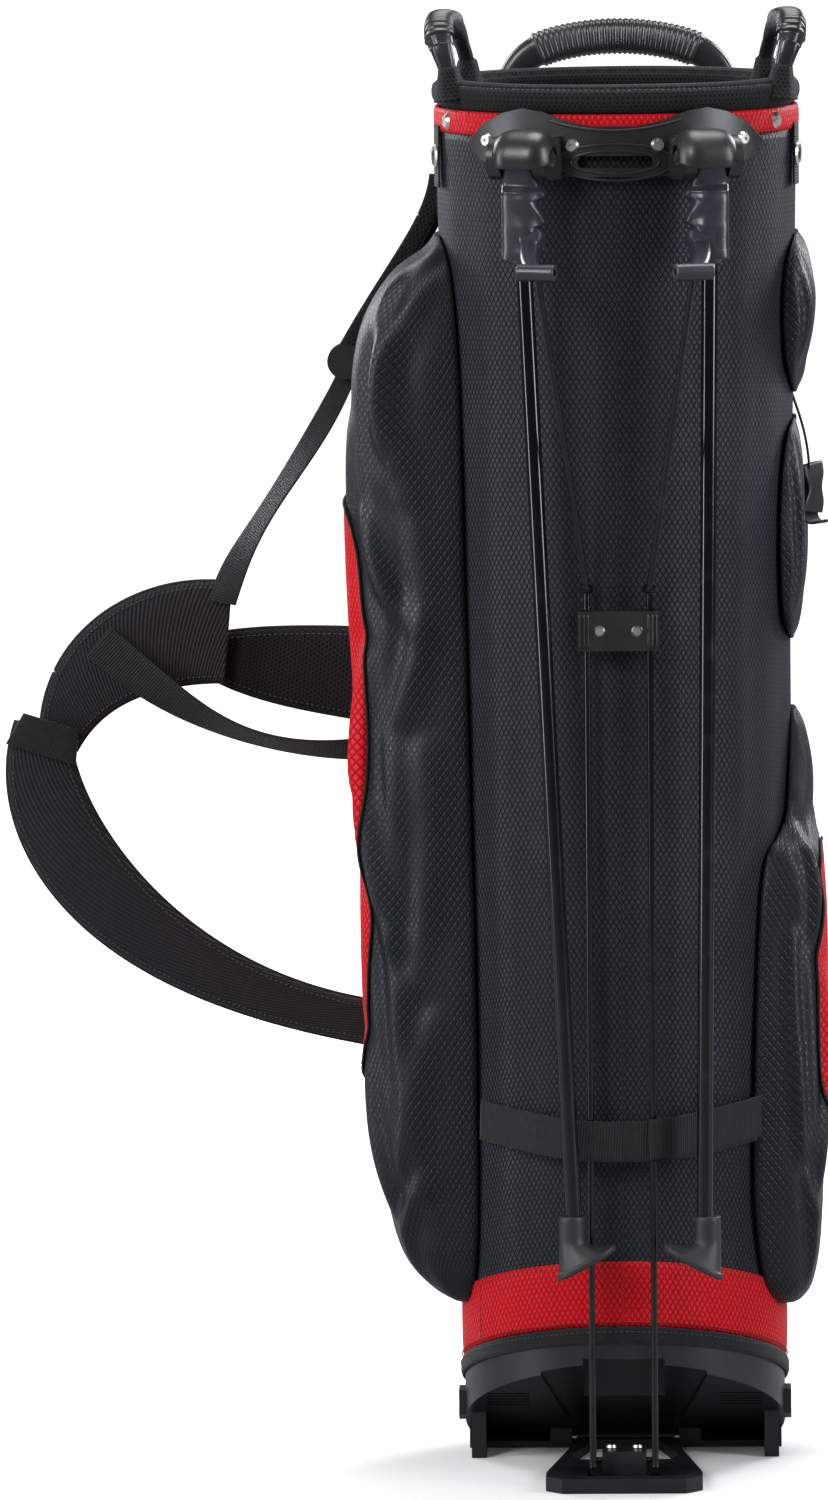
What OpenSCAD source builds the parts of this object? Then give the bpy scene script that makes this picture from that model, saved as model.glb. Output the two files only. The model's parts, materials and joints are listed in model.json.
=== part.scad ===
// Golf stand bag, standing upright with its legs folded.
// Origin on the floor at the centre of the bag; the legs are on the -Y side, +Z is up.

/* [Body] */
// Radius of the fabric tube at the base
base_r = 99; // [94:1:104]
// Radius of the fabric tube at the top
top_r = 110.5; // [106:0.5:114]
// Height of the top edge of the fabric tube
tube_top = 826; // [800:1:850]
// Height of the bottom edge of the fabric tube, at the front
tube_bottom = 96.5; // [94:0.5:100]
// Fall of the tube's bottom edge towards the back, per unit of depth
rim_slope = 0.38; // [0.3:0.01:0.4]
// Thickness of the fabric and its foam backing
skin = 2.4; // [1.5:0.1:4]

/* [Rim] */
// Height of the top of the padded cuff
cuff_top = 858; // [850:1:870]
// Thickness of the padded bars between the club wells
divider_bar = 14; // [10:1:18]
// Height of the side handles above the cuff
side_handle_rise = 41; // [30:1:50]
// Outside width of the rear handle
rear_handle_w = 145; // [120:1:160]

/* [Leg mechanism] */
// Angle between the hinge pin and the row X axis, seen from above
splay = 20; // [10:1:28]
// Distance from the centre line to the middle of each hinge
hinge_x = 56; // [50:1:62]
// Distance from the bag's axis forward to the hinge pins
hinge_y = 124; // [120:1:130]
// Height of the hinge pins
hinge_z = 815; // [805:1:825]
// Radius of the hinge pins
pin_r = 3; // [2:0.1:4]
// Radius of the leg tubes
leg_r = 5; // [4:0.1:6]
// Distance from the hinge pin to the wire boss
boss_reach = 78; // [60:1:90]
// Angle of the wire boss forward of straight down
boss_angle = 33; // [20:1:45]
// Radius of the steel push wires
wire_r = 2; // [1.5:0.1:2.5]
// Half of the distance between the two push wires
wire_x = 19; // [16:0.5:22]

/* [Base and foot plate] */
// Height of the front wall's lower edge above the floor
slant_top = 72; // [60:1:80]
// Distance from the bag's axis back to the foot plate's hinge
plate_hinge_y = 28; // [20:1:35]
// Distance from the bag's axis forward to the foot plate's front edge
plate_front = 134; // [125:1:140]
// Width of the foot plate at its front
plate_w = 96; // [80:1:104]
// Thickness of the foot plate
plate_t = 6; // [4:0.5:8]

/* [Pockets] */
// How far the big left pocket reaches from the bag's axis
left_pocket_x = 168; // [150:1:175]
// How far the lower right pocket reaches from the bag's axis
right_pocket_x = 123; // [115:1:140]

/* [Hidden] */

$fn = 64;
gap = 0.25;                 // clearance between pieces that touch
run = 0.05;                 // radial clearance of a pin in its bore
eps = 0.5;                  // overshoot of a cut

taper = atan((top_r - base_r) / (tube_top - tube_bottom));

// Mirror image of a point with two or three coordinates
function flip(p) = [for (i = [0 : len(p) - 1]) i == 0 ? -p[0] : p[i]];

function tube_r(z) = base_r + (top_r - base_r) * (z - tube_bottom) / (tube_top - tube_bottom);

collar_bottom = tube_top - 24;
collar_r = tube_r(collar_bottom) - skin - gap;
collar_wall = 7;
collar_top = 840;
cuff_bottom = collar_top + gap;
cuff_out = 113;
cuff_in = 94;
band_r = 111.5;
crown_in = 111.8;
crown_t = 5.2;

cup_r = base_r + 0.4;
cup_wall = 3.2;
cup_top = tube_bottom - gap;
plate_hinge_z = 5;
plate_pin_r = 2.5;
step_y = 20;                // the flat sole ends here and the slanted face begins
step_z = 12;
slant = atan((slant_top - step_z) / (cup_r + step_y));
slant_skin = 4;
clamp_y = -98;
clamp_z = 14;
rod_front_y = -119;
rod_top_y = -112;
rod_top_z = 550;
guide_z = 528;
guide_h = 24;
guide_w = 50;
guide_front = -121.5;
guide_channel_front = -118.9;
band_low = 97;
band_high = 137;
ring_t = 1.5;
runner_x = 91;              // distance from the centre line to the middle of each sole runner
runner_w = 9;
runner_front = 14;          // how far the runners reach forward of the bag's axis
runner_overlap = 4;         // how far they run back into the flat sole
grip_ribs = 5;
grip_pitch = 6;

screw_x = [-77.5, -26, 26, 77.5];
slot_x = 19;                // the crown's slot: half length, height and end radius
slot_z = 812;
slot_r = 3.7;
tab_w = 13;
tab_h = 38;
tab_t = 1.6;
tab_z = 811;
tab_azimuths = [-77, 78];
rivet_azimuths = [-67, 61];
rivet_z = 833;
rear_foot_z = 806;
rear_handle_top = 886;
rear_grip = 15;
side_grip = 13;

pocket_gap = gap + ring_t + 0.6;    // pockets clear the tube and the red band
mid_pocket_x = 113;
zip_out = 2.2;
left_zip_azimuth = -136;
right_zip_azimuth = 132;
strap_z = 207;              // lower edge of the band that crosses the wires
strap_h = 25;
strap_t = 2;

boss_in = 25;               // the boss sits this far inward along the hinge pin
boss_y = -boss_reach * sin(boss_angle);
boss_z = -boss_reach * cos(boss_angle);
boss_len = 24;
wire_yaw = 26.8;            // yaw of the upper wires' pivots
boss_r = 5.2;
head_r = 10;
head_w = 20;
fork_gap = 21;
fork_w = 37;
fork_r = 13;
tube_start = 769;
foot_top = 171;

// Where each leg's tube is: its top and its bottom end. The left leg leans in a little more.
left_leg_top = [-hinge_x, -127, tube_start];
left_leg_end = [-29, -131, foot_top - 12];
right_leg_top = [hinge_x + 1, -127, tube_start];
right_leg_end = [50, -131, foot_top - 12];

fabric = [0.11, 0.12, 0.15];
mesh_black = [0.07, 0.07, 0.08];
red = [0.86, 0.1, 0.16];
plastic = [0.12, 0.12, 0.12];
slate = [0.33, 0.36, 0.42];
nickel = [0.8, 0.79, 0.74];
steel = [0.08, 0.08, 0.09];
strap_black = [0.15, 0.13, 0.15];

// ---- helpers ----

// Round rod between two points
module rod_between(a, b, r) {
    d = b - a;
    len = norm(d);
    translate(a)
        rotate([0, acos(d[2] / len), atan2(d[1], d[0])])
            cylinder(r = r, h = len);
}

// Wall of revolution that follows the tapered tube
module tube_wall(z0, z1, inner, outer) {
    rotate_extrude($fn = 96)
        polygon([[tube_r(z0) + inner, z0], [tube_r(z0) + outer, z0],
                 [tube_r(z1) + outer, z1], [tube_r(z1) + inner, z1]]);
}

// Solid that follows the tapered tube, used to trim what lies against it
module tube_solid(z0, z1, grow) {
    translate([0, 0, z0])
        cylinder(r1 = tube_r(z0) + grow, r2 = tube_r(z1) + grow, h = z1 - z0, $fn = 96);
}

// Places children against the tube: azimuth 0 is the front, positive turns to +X
module on_tube(azimuth, z, out = 0) {
    rotate([0, 0, azimuth])
        translate([0, -tube_r(z) - out, z])
            rotate([taper, 0, 0])
                children();
}

// Local frame of a leg hinge: X runs inward along the pin, -Y is the way the leg swings
module hinge_frame() {
    translate([-hinge_x, -hinge_y, hinge_z])
        rotate([0, 0, -splay])
            children();
}

module along_x(r, len) {
    rotate([0, 90, 0])
        cylinder(r = r, h = len, center = true);
}

module mirrored() {
    mirror([1, 0, 0])
        children();
}

// Flat strap through a list of points, in the plane of constant Y: each point is [x, z, half width]
module strap_chain(points, y, t) {
    for (i = [0 : len(points) - 2])
        hull()
            for (p = [points[i], points[i + 1]])
                translate([p[0], y, p[1]])
                    rotate([90, 0, 0])
                        cylinder(r = p[2], h = t, center = true, $fn = 24);
}

// ---- body ----

// Everything below the slanted bottom edge, whose height at the front is z_front
module below_rim(z_front) {
    size = 300;
    translate([-size / 2, -base_r, z_front])
        rotate([-atan(rim_slope), 0, 0])
            translate([0, -size, -size])
                cube([size, 2 * size, size]);
}

module body_shell() {
    color(fabric)
        difference() {
            tube_wall(0, tube_top, -skin, 0);
            below_rim(tube_bottom);
        }
}

module top_collar() {
    color(plastic)
        translate([0, 0, collar_bottom])
            difference() {
                cylinder(r = collar_r, h = tube_top - collar_bottom);
                translate([0, 0, -eps])
                    cylinder(r = collar_r - collar_wall, h = tube_top - collar_bottom + 2 * eps);
            }
}

module cuff() {
    mid = (cuff_out + cuff_in) / 2;
    roll = (cuff_out - cuff_in) / 2;
    flat_h = cuff_top - roll - cuff_bottom;
    color(mesh_black)
        rotate_extrude($fn = 96)
            union() {
                intersection() {
                    translate([mid, cuff_bottom + flat_h])
                        circle(r = roll);
                    translate([cuff_in, cuff_bottom])
                        square([cuff_out - cuff_in, 2 * roll]);
                }
                translate([cuff_in + 2, cuff_bottom])
                    square([cuff_out - cuff_in - 4, flat_h]);
            }
}

module divider_cross(width, z0, z1, r0, r1) {
    intersection() {
        translate([0, 0, z0])
            cylinder(r1 = r0, r2 = r1, h = z1 - z0, $fn = 96);
        union() {
            translate([-150, -width / 2, z0 - eps])
                cube([300, width, z1 - z0 + 2 * eps]);
            translate([-width / 2, -150, z0 - eps])
                cube([width, 300, z1 - z0 + 2 * eps]);
        }
    }
}

module top_divider() {
    r = collar_r - collar_wall - gap;
    color(mesh_black)
        divider_cross(divider_bar, collar_bottom + 4, collar_top - 2, r, r);
}

module divider_sleeves() {
    low = tube_bottom + 6;
    high = collar_bottom - 2;
    color(mesh_black)
        divider_cross(1.8, low, high, tube_r(low) - skin - 1, tube_r(high) - skin - 4);
}

module stays() {
    stay_r = 2.5;
    color(plastic)
        for (azimuth = [45 : 90 : 315])
            rotate([0, 0, azimuth])
                translate([0, -base_r + 7, tube_bottom + 1])
                    cylinder(r = stay_r, h = collar_bottom - tube_bottom - 2);
}

module top_band() {
    color(red)
        difference() {
            translate([0, 0, tube_top + gap])
                cylinder(r = band_r, h = collar_top - tube_top - gap, $fn = 96);
            translate([0, 0, tube_top - eps])
                cylinder(r = collar_r, h = collar_top - tube_top + 2 * eps, $fn = 96);
        }
}

module band_rivets() {
    color(nickel)
        for (azimuth = rivet_azimuths)
            rotate([0, 0, azimuth])
                translate([0, -band_r - gap, rivet_z])
                    rotate([90, 0, 0])
                        cylinder(r1 = 5, r2 = 3.5, h = 1.8);
}

module grommet_tabs() {
    color(strap_black)
        for (azimuth = tab_azimuths)
            rotate([0, 0, azimuth])
                translate([-tab_w / 2, -crown_in - tab_t, tab_z - tab_h / 2])
                    difference() {
                        cube([tab_w, tab_t, tab_h]);
                        translate([tab_w / 2, -eps, tab_h / 2])
                            rotate([-90, 0, 0])
                                cylinder(r = 4.6, h = tab_t + 2 * eps);
                    }
}

module grommets() {
    color(nickel)
        for (azimuth = tab_azimuths)
            rotate([0, 0, azimuth])
                translate([0, -crown_in, tab_z])
                    rotate([90, 0, 0])
                        difference() {
                            union() {
                                cylinder(r = 4.5, h = tab_t + gap);
                                translate([0, 0, tab_t + gap])
                                    cylinder(r1 = 7, r2 = 6, h = 1.2);
                            }
                            translate([0, 0, -eps])
                                cylinder(r = 3.4, h = 5);
                        }
}

// ---- handles ----

// Upright grip with two legs and rounded upper corners, drawn in X and Z and given a depth in Y
module handle_arch(w, h, grip, depth, corner) {
    rotate([90, 0, 0])
        translate([0, 0, -depth / 2])
            linear_extrude(depth)
                difference() {
                    rounded_top(w, h, corner);
                    translate([0, -eps])
                        rounded_top(w - 2 * grip, h - grip + eps, corner - grip * 0.7);
                }
}

module rounded_top(w, h, r) {
    intersection() {
        union() {
            for (side = [-1, 1])
                translate([side * (w / 2 - r), h - r])
                    circle(r = r);
            translate([-w / 2, 0])
                square([w, h - r]);
            translate([-w / 2 + r, 0])
                square([w - 2 * r, h]);
        }
        translate([-w / 2, 0])
            square([w, h]);
    }
}

module rear_handle() {
    leg_x = (rear_handle_w - rear_grip) / 2;
    lug_h = 22;
    color(plastic) {
        translate([0, 122, rear_foot_z])
            handle_arch(rear_handle_w, rear_handle_top - rear_foot_z, rear_grip, 14, 26);
        // lugs that bear on the tube
        difference() {
            for (side = [-1, 1])
                translate([side * leg_x - rear_grip / 2, 80, rear_foot_z])
                    cube([rear_grip, 36, lug_h]);
            translate([0, 0, rear_foot_z - eps])
                cylinder(r = crown_in, h = lug_h + 2 * eps, $fn = 96);
        }
    }
}

module side_handle() {
    color(plastic)
        translate([-99, -8, cuff_top + gap])
            rotate([0, 0, 90])
                handle_arch(92, side_handle_rise, side_grip, 20, 24);
}

module left_handle() {
    side_handle();
}

module right_handle() {
    mirrored()
        side_handle();
}

// ---- leg crown ----

// Right half of the crown's front view, from the middle of its top edge round to its lower edge
crown_half = [[14, 833.5], [30, 837], [43, 842], [56, 844], [68, 841], [80, 834], [90, 822],
              [82, 812], [66, 806]];

module crown_outline() {
    last = len(crown_half) - 1;
    polygon(concat(crown_half, [for (i = [last : -1 : 0]) flip(crown_half[i])]));
    for (side = [-1, 1])
        translate([side * 30, slot_z])
            circle(r = 9);
    translate([-30, slot_z - 9])
        square([60, 18]);
}

module crown_slot() {
    for (side = [-1, 1])
        translate([side * slot_x, slot_z])
            circle(r = slot_r);
    translate([-slot_x, slot_z - slot_r])
        square([2 * slot_x, 2 * slot_r]);
}

module fork() {
    hinge_frame()
        difference() {
            union() {
                along_x(fork_r, fork_w);
                translate([-fork_w / 2, 0, -fork_r])
                    cube([fork_w, 34, 2 * fork_r]);
            }
            translate([-fork_gap / 2, -40, -40])
                cube([fork_gap, 40 + head_r + 1.5, 80]);
            along_x(pin_r + run, fork_w + 2);
        }
}

module leg_crown() {
    color(plastic)
        difference() {
            union() {
                intersection() {
                    translate([0, 0, 790])
                        cylinder(r = crown_in + crown_t, h = 70, $fn = 96);
                    rotate([90, 0, 0])
                        linear_extrude(140)
                            difference() {
                                crown_outline();
                                crown_slot();
                            }
                }
                fork();
                mirrored()
                    fork();
            }
            translate([0, 0, 780])
                cylinder(r = crown_in, h = 90, $fn = 96);
            for (x = screw_x)
                screw_place(x)
                    translate([0, 0, -12])
                        cylinder(r = 2.2, h = 12.5);
        }
}

// Stands on the crown's outer face at a distance x from the centre line, with +Z outward
module screw_place(x) {
    rotate([0, 0, asin(x / (crown_in + crown_t))])
        translate([0, -crown_in - crown_t, abs(x) < 50 ? 822 : 824])
            rotate([90, 0, 0])
                children();
}

module crown_screws() {
    color(nickel)
        for (x = screw_x)
            screw_place(x) {
                translate([0, 0, -crown_t])
                    cylinder(r = 2, h = crown_t + gap + 0.5);
                translate([0, 0, gap])
                    difference() {
                        cylinder(r1 = 4.4, r2 = 3.2, h = 2);
                        translate([0, 0, 0.9])
                            cylinder(r = 1.1, h = 2);
                    }
            }
}

module leg_pin() {
    color(nickel)
        hinge_frame() {
            along_x(pin_r, fork_w);
            translate([fork_w / 2 + gap + 0.6, 0, 0])
                along_x(pin_r + 1.6, 1.2);
            translate([fork_w / 2, 0, 0])
                along_x(pin_r, 1.2);
        }
}

module left_leg_pin() {
    leg_pin();
}

module right_leg_pin() {
    mirrored()
        leg_pin();
}

// ---- legs ----

// Front view of the bracket: straight outer edge, scalloped inner edge
module bracket_outline() {
    polygon([[-10, 0], [10, 0], [10, -20], [16, -25], [11.5, -32], [14.5, -39], [10.5, -45],
             [13.5, -52], [13, -60], [-14, -60], [-15, -26], [-10, -20]]);
}

module bracket(leg_top, leg_end) {
    down = (leg_end - leg_top) / norm(leg_end - leg_top);
    color(slate)
        difference() {
            union() {
                hinge_frame() {
                    along_x(head_r, head_w);
                    translate([0, 7, 0])
                        rotate([90, 0, 0])
                            linear_extrude(18)
                                bracket_outline();
                    hull() {
                        translate([2, -10, -58])
                            cube([11, 14, 16]);
                        translate([boss_in - 4, boss_y, boss_z])
                            along_x(boss_r, 14);
                    }
                    translate([boss_in, boss_y, boss_z])
                        along_x(boss_r, boss_len);
                }
                rod_between(leg_top - 4 * down, leg_top + 17 * down, leg_r + 3);
            }
            rod_between(leg_top, leg_top + 20 * down, leg_r + run);
            hinge_frame() {
                along_x(pin_r + run, head_w + 2);
                translate([boss_in, boss_y, boss_z])
                    along_x(wire_r + 0.4, boss_len + 2);
            }
        }
}

module leg_tube(leg_top, leg_end) {
    down = (leg_end - leg_top) / norm(leg_end - leg_top);
    color(steel)
        difference() {
            rod_between(leg_top + gap * down, leg_end, leg_r);
            rod_between(leg_top - 5 * down, leg_end + 5 * down, leg_r - 0.9);
        }
}

// Rubber foot: a collar on the tube's end, a flare and a rimmed sole that reaches inward
module rubber_foot(leg_top, leg_end) {
    down = (leg_end - leg_top) / norm(leg_end - leg_top);
    rim = 4;
    color(plastic)
        difference() {
            union() {
                rod_between(leg_end - 12 * down, leg_end + 8 * down, leg_r + 3);
                translate(leg_end + 12 * down)
                    rotate([0, -28, 0]) {
                        hull() {
                            translate([-1, -1, 7])
                                cylinder(r = leg_r + 3, h = rim, center = true, $fn = 32);
                            foot_pad(0, 2);
                        }
                        foot_pad(1.5, rim);
                    }
            }
            rod_between(leg_end - 20 * down, leg_end + 0.3 * down, leg_r + run);
        }
}

// Long sole of the foot, its lower face 11 below the flare's centre
module foot_pad(grow, h) {
    translate([0, -5, -11])
        hull()
            for (x = [-2, 11])
                translate([x, 0, 0])
                    cylinder(r = 10 + grow, h = h, $fn = 32);
}

module left_leg_bracket() {
    bracket(left_leg_top, left_leg_end);
}

module left_leg_tube() {
    leg_tube(left_leg_top, left_leg_end);
}

module left_foot() {
    rubber_foot(left_leg_top, left_leg_end);
}

module right_leg_bracket() {
    mirrored()
        bracket(flip(right_leg_top), flip(right_leg_end));
}

module right_leg_tube() {
    leg_tube(right_leg_top, right_leg_end);
}

module right_foot() {
    mirrored()
        rubber_foot(flip(right_leg_top), flip(right_leg_end));
}

// ---- push wires, guide and strap ----

module wire_guide() {
    color(plastic)
        difference() {
            translate([-guide_w / 2, guide_front, guide_z - guide_h / 2])
                cube([guide_w, 26, guide_h]);
            tube_solid(guide_z - 30, guide_z + 30, gap);
            for (side = [-1, 1]) {
                translate([side * wire_x - 2.9, guide_channel_front, guide_z - 20])
                    cube([5.8, 30, 40]);
                for (i = [-1, 1])
                    translate([side * 23.4 + i * 0.9 - 0.25, guide_front - 0.5, guide_z - 9])
                        cube([0.5, 1, 18]);
            }
        }
}

module guide_rivets() {
    color(nickel)
        for (side = [-1, 1])
            translate([side * 11.5, guide_front - gap, guide_z])
                rotate([90, 0, 0])
                    cylinder(r1 = 3.6, r2 = 2.4, h = 1.9);
}

module push_rod() {
    bend_r = wire_r + 0.12;
    color(steel) {
        rod_between([-wire_x, clamp_y, clamp_z], [wire_x, clamp_y, clamp_z], wire_r);
        for (side = [-1, 1]) {
            corner = [side * wire_x, rod_front_y, clamp_z];
            rod_between([side * wire_x, clamp_y, clamp_z], corner, wire_r);
            rod_between(corner, [side * wire_x, rod_top_y, rod_top_z], wire_r);
            translate(corner)
                sphere(r = bend_r);
            translate([side * wire_x, clamp_y, clamp_z])
                sphere(r = bend_r);
        }
    }
}

// Upper wire, from the push rod's end to just short of the boss it pushes on
module upper_wire() {
    foot = [-wire_x, rod_top_y, rod_top_z + 3];
    boss = [-hinge_x, -hinge_y, hinge_z]
        + [boss_in * cos(splay) + boss_y * sin(splay), -boss_in * sin(splay) + boss_y * cos(splay), boss_z];
    reach = boss - foot;
    len = norm(reach);
    pivot = [cos(wire_yaw), -sin(wire_yaw), 0];
    color(steel) {
        rod_between(foot, foot + reach * (len - boss_r - 6) / len, wire_r);
        rod_between(foot - 3 * pivot, foot + 3 * pivot, wire_r + 0.7);
    }
}

module left_wire() {
    upper_wire();
}

module right_wire() {
    mirrored()
        upper_wire();
}

// Webbing band that crosses in front of the wires and runs back to the pockets' seams
module leg_strap() {
    front = -121.5;
    flat_half = 58;
    color(strap_black)
        union() {
            translate([-flat_half, front, strap_z])
                cube([2 * flat_half, strap_t, strap_h]);
            for (side = [-1, 1])
                hull() {
                    translate([side * flat_half - 1, front, strap_z])
                        cube([2, strap_t, strap_h]);
                    rotate([0, 0, side * 58])
                        translate([-1, -tube_r(strap_z) - 3.5, strap_z])
                            cube([2, strap_t, strap_h]);
                }
        }
}

// ---- base and foot plate ----

// Everything under the slanted face, which rises from the step to the front wall
module under_slant(lift) {
    translate([-150, step_y, step_z + lift])
        rotate([-slant, 0, 0])
            translate([0, -200, -200])
                cube([300, 200, 200]);
    translate([-150, -150, -50])
        cube([300, 150 + step_y, 50 + step_z + lift]);
}

module plate_outline(grow) {
    half_back = 30.5 + grow;
    half_front = plate_w / 2 + grow;
    polygon([[-half_back, plate_hinge_y], [half_back, plate_hinge_y],
             [half_back, 12], [half_front, -95], [half_front, -plate_front + 10 - grow],
             [half_front - 10, -plate_front - grow], [-half_front + 10, -plate_front - grow],
             [-half_front, -plate_front + 10 - grow], [-half_front, -95], [-half_back, 12]]);
}

// Narrow runner at the cup's side that carries the flat sole forward under the slanted face
module sole_runner(side) {
    tall = 3 * step_z;
    low_x = side * runner_x - runner_w / 2;
    intersection() {
        cylinder(r = cup_r - 1, h = tall, $fn = 96);
        translate([low_x, -runner_front, 0])
            cube([runner_w, runner_front + step_y + runner_overlap, tall]);
        union() {
            under_slant(1);
            translate([low_x, step_y - eps, 0])
                cube([runner_w, runner_overlap + eps, cup_wall]);
        }
    }
}

module base_cup() {
    recess_w = 25;
    color(plastic) {
        for (side = [-1, 1])
            sole_runner(side);
        difference() {
            union() {
                intersection() {
                    cylinder(r = cup_r, h = cup_top, $fn = 96);
                    below_rim(cup_top);
                }
                // guard tabs on both sides
                for (side = [-1, 1])
                    translate([side * (cup_r + 0.4) - 3.5, -9, 22])
                        cube([7, 18, 20]);
                // block round the clamp's pocket
                intersection() {
                    cylinder(r = cup_r - 1, h = 88, $fn = 96);
                    translate([-recess_w - 3, -cup_r, 40])
                        cube([2 * recess_w + 6, cup_r - 34, 48]);
                }
            }
            under_slant(0);
            // room for the clubs
            difference() {
                translate([0, 0, 4])
                    cylinder(r = cup_r - cup_wall, h = cup_top, $fn = 96);
                under_slant(slant_skin);
                translate([-recess_w - 3, -cup_r, 0])
                    cube([2 * recess_w + 6, cup_r - 34, 88]);
                translate([-47, 0, 0])
                    cube([94, plate_hinge_y + 13, step_z + 6]);
            }
            // pocket that takes the clamp when the plate folds up, and the notch for its wires
            translate([-recess_w, -cup_r + cup_wall, 20])
                cube([2 * recess_w, cup_r - cup_wall - 38, 64]);
            translate([-recess_w, -cup_r - 10, 20])
                cube([2 * recess_w, 10 + cup_wall + eps, 57]);
            // shallow seat for the folded plate
            translate([0, step_y, step_z])
                rotate([-slant, 0, 0])
                    translate([0, -step_y, -10])
                        linear_extrude(12)
                            plate_outline(3);
            // room for the plate's knuckle
            translate([-32.5, -2, -eps])
                cube([65, plate_hinge_y + 9, step_z + eps]);
            translate([0, plate_hinge_y, plate_hinge_z])
                along_x(plate_pin_r + run, 91);
            // grip ribs beside the seat
            for (side = [-1, 1])
                for (i = [0 : grip_ribs - 1])
                    translate([side * 72, step_y, step_z])
                        rotate([-slant, 0, 0])
                            translate([-13, -55 - i * grip_pitch, -1])
                                cube([26, 2.6, 2.2]);
        }
    }
}

module base_hinge_pin() {
    color(nickel)
        translate([0, plate_hinge_y, plate_hinge_z])
            along_x(plate_pin_r, 90);
}

// Slice of a ring between two slanted planes
module slanted_slice(z_front_low, z_front_high) {
    difference() {
        intersection() {
            children();
            below_rim(z_front_high);
        }
        below_rim(z_front_low);
    }
}

module base_band() {
    color(red)
        slanted_slice(band_low, band_high)
            tube_wall(0, band_high + 10, cup_r - base_r + 0.1, cup_r - base_r + 0.1 + ring_t);
}

module base_binding() {
    color(mesh_black)
        slanted_slice(band_low - 11, band_low - 0.4)
            translate([0, 0, 1])
                difference() {
                    cylinder(r = cup_r + 2, h = 120, $fn = 96);
                    translate([0, 0, -eps])
                        cylinder(r = cup_r + 0.1, h = 121, $fn = 96);
                }
}

module foot_plate() {
    lip = 10;
    color(plastic)
        difference() {
            union() {
                linear_extrude(plate_t)
                    plate_outline(0);
                translate([0, plate_hinge_y, plate_hinge_z])
                    along_x(plate_hinge_z, 61);
                intersection() {
                    linear_extrude(9)
                        plate_outline(0);
                    translate([-60, -plate_front, 0])
                        cube([120, lip, 9]);
                }
            }
            translate([0, plate_hinge_y, plate_hinge_z])
                along_x(plate_pin_r + run, 70);
            // slots that the wires swing into as the plate folds up
            for (side = [-1, 1])
                translate([side * wire_x - 3.5, -plate_front + lip, -eps])
                    cube([7, plate_front - lip + clamp_y + 5, plate_t + 2 * eps]);
            // opening behind the clamp
            translate([0, 0, -eps])
                linear_extrude(plate_t + 2 * eps)
                    polygon([[-20, 14], [20, 14], [33, -38], [28, -52], [-28, -52], [-33, -38]]);
        }
}

module wire_clamp() {
    color(plastic)
        difference() {
            translate([-13.5, clamp_y - 6, plate_t + gap])
                cube([27, 20, 14]);
            translate([0, clamp_y, clamp_z])
                along_x(wire_r + run, 40);
        }
}

module clamp_screws() {
    color(nickel)
        for (side = [-1, 1])
            translate([side * 8, clamp_y + 9, plate_t + 14 + 2 * gap])
                cylinder(r1 = 3.4, r2 = 2.8, h = 1.6);
}

// ---- pockets ----

// Each row is [inset from the outer face, height, radius] of a pair of rounding spheres
left_pocket_rounds = [[80, 735, 22], [34, 690, 34], [32, 300, 32], [52, 160, 32], [90, 130, 24]];

module left_pocket() {
    color(fabric)
        difference() {
            hull()
                for (y = [-14, 30])
                    for (p = left_pocket_rounds)
                        translate([-left_pocket_x + p[0], y, p[1]])
                            sphere(r = p[2], $fn = 32);
            tube_solid(tube_bottom - 20, tube_top, pocket_gap);
        }
}

module left_pocket_panel() {
    color(red)
        translate([-left_pocket_x - 2.1, -3, 232])
            cube([1.8, 22, 370]);
}

module zip_tape(azimuth, z0, z1) {
    color(plastic)
        on_tube(azimuth, z0, zip_out)
            translate([-4.5, 0, 0])
                cube([9, 1.6, z1 - z0]);
}

module left_zip() {
    zip_tape(left_zip_azimuth, 250, 650);
}

module zip_slider() {
    color(nickel) {
        translate([-4, -3, -6])
            cube([8, 2.4, 12]);
        translate([-2.5, -4, -26])
            cube([5, 1.2, 24]);
    }
}

module left_zip_slider() {
    on_tube(left_zip_azimuth, 640, zip_out)
        zip_slider();
}

module right_pocket(z0, z1, x, r) {
    color(fabric)
        difference() {
            hull()
                for (y = [-22, 30])
                    for (z = [z0 + r, z1 - r])
                        translate([x - r, y, z])
                            sphere(r = r, $fn = 24);
            tube_solid(tube_bottom - 20, tube_top, pocket_gap);
        }
}

module right_upper_pocket() {
    right_pocket(664, 760, 120, 24);
}

module right_mid_pocket() {
    right_pocket(512, 646, mid_pocket_x, 24);
}

module right_lower_pocket() {
    right_pocket(104, 466, right_pocket_x, 30);
}

module right_pocket_panel() {
    color(red)
        translate([right_pocket_x + 0.3, -8, 205])
            cube([1.6, 24, 172]);
}

module right_zip() {
    zip_tape(right_zip_azimuth, 245, 440);
}

module right_zip_slider() {
    on_tube(right_zip_azimuth, 430, zip_out)
        zip_slider();
}

// Side-release buckle of the umbrella strap, outside the middle pocket
module side_buckle() {
    color(strap_black)
        difference() {
            translate([mid_pocket_x + 0.4, -10, 588])
                cube([9, 24, 30]);
            translate([mid_pocket_x - 1, -6, 593])
                cube([12, 16, 4]);
            translate([mid_pocket_x - 1, -6, 609])
                cube([12, 16, 4]);
        }
}

// ---- carrying straps on the back ----

module hip_pad() {
    pad_w = 120;
    pad_t = 22;
    color(mesh_black)
        intersection() {
            tube_wall(330, 570, gap, pad_t);
            translate([-pad_w / 2, 60, 320])
                cube([pad_w, 90, 260]);
        }
}

module strap_anchor() {
    color(plastic)
        difference() {
            translate([-112, 48, 770])
                cube([36, 50, 24]);
            tube_solid(700, tube_top, gap);
        }
}

module upper_straps() {
    color(strap_black)
        strap_chain([[-122, 777, 8], [-142, 744, 8], [-163, 705, 8]], 66, 3);
}

module strap_button() {
    color(plastic)
        translate([-170, 66, 678])
            rotate([90, 0, 0])
                cylinder(r = 11, h = 12, center = true);
}

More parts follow.
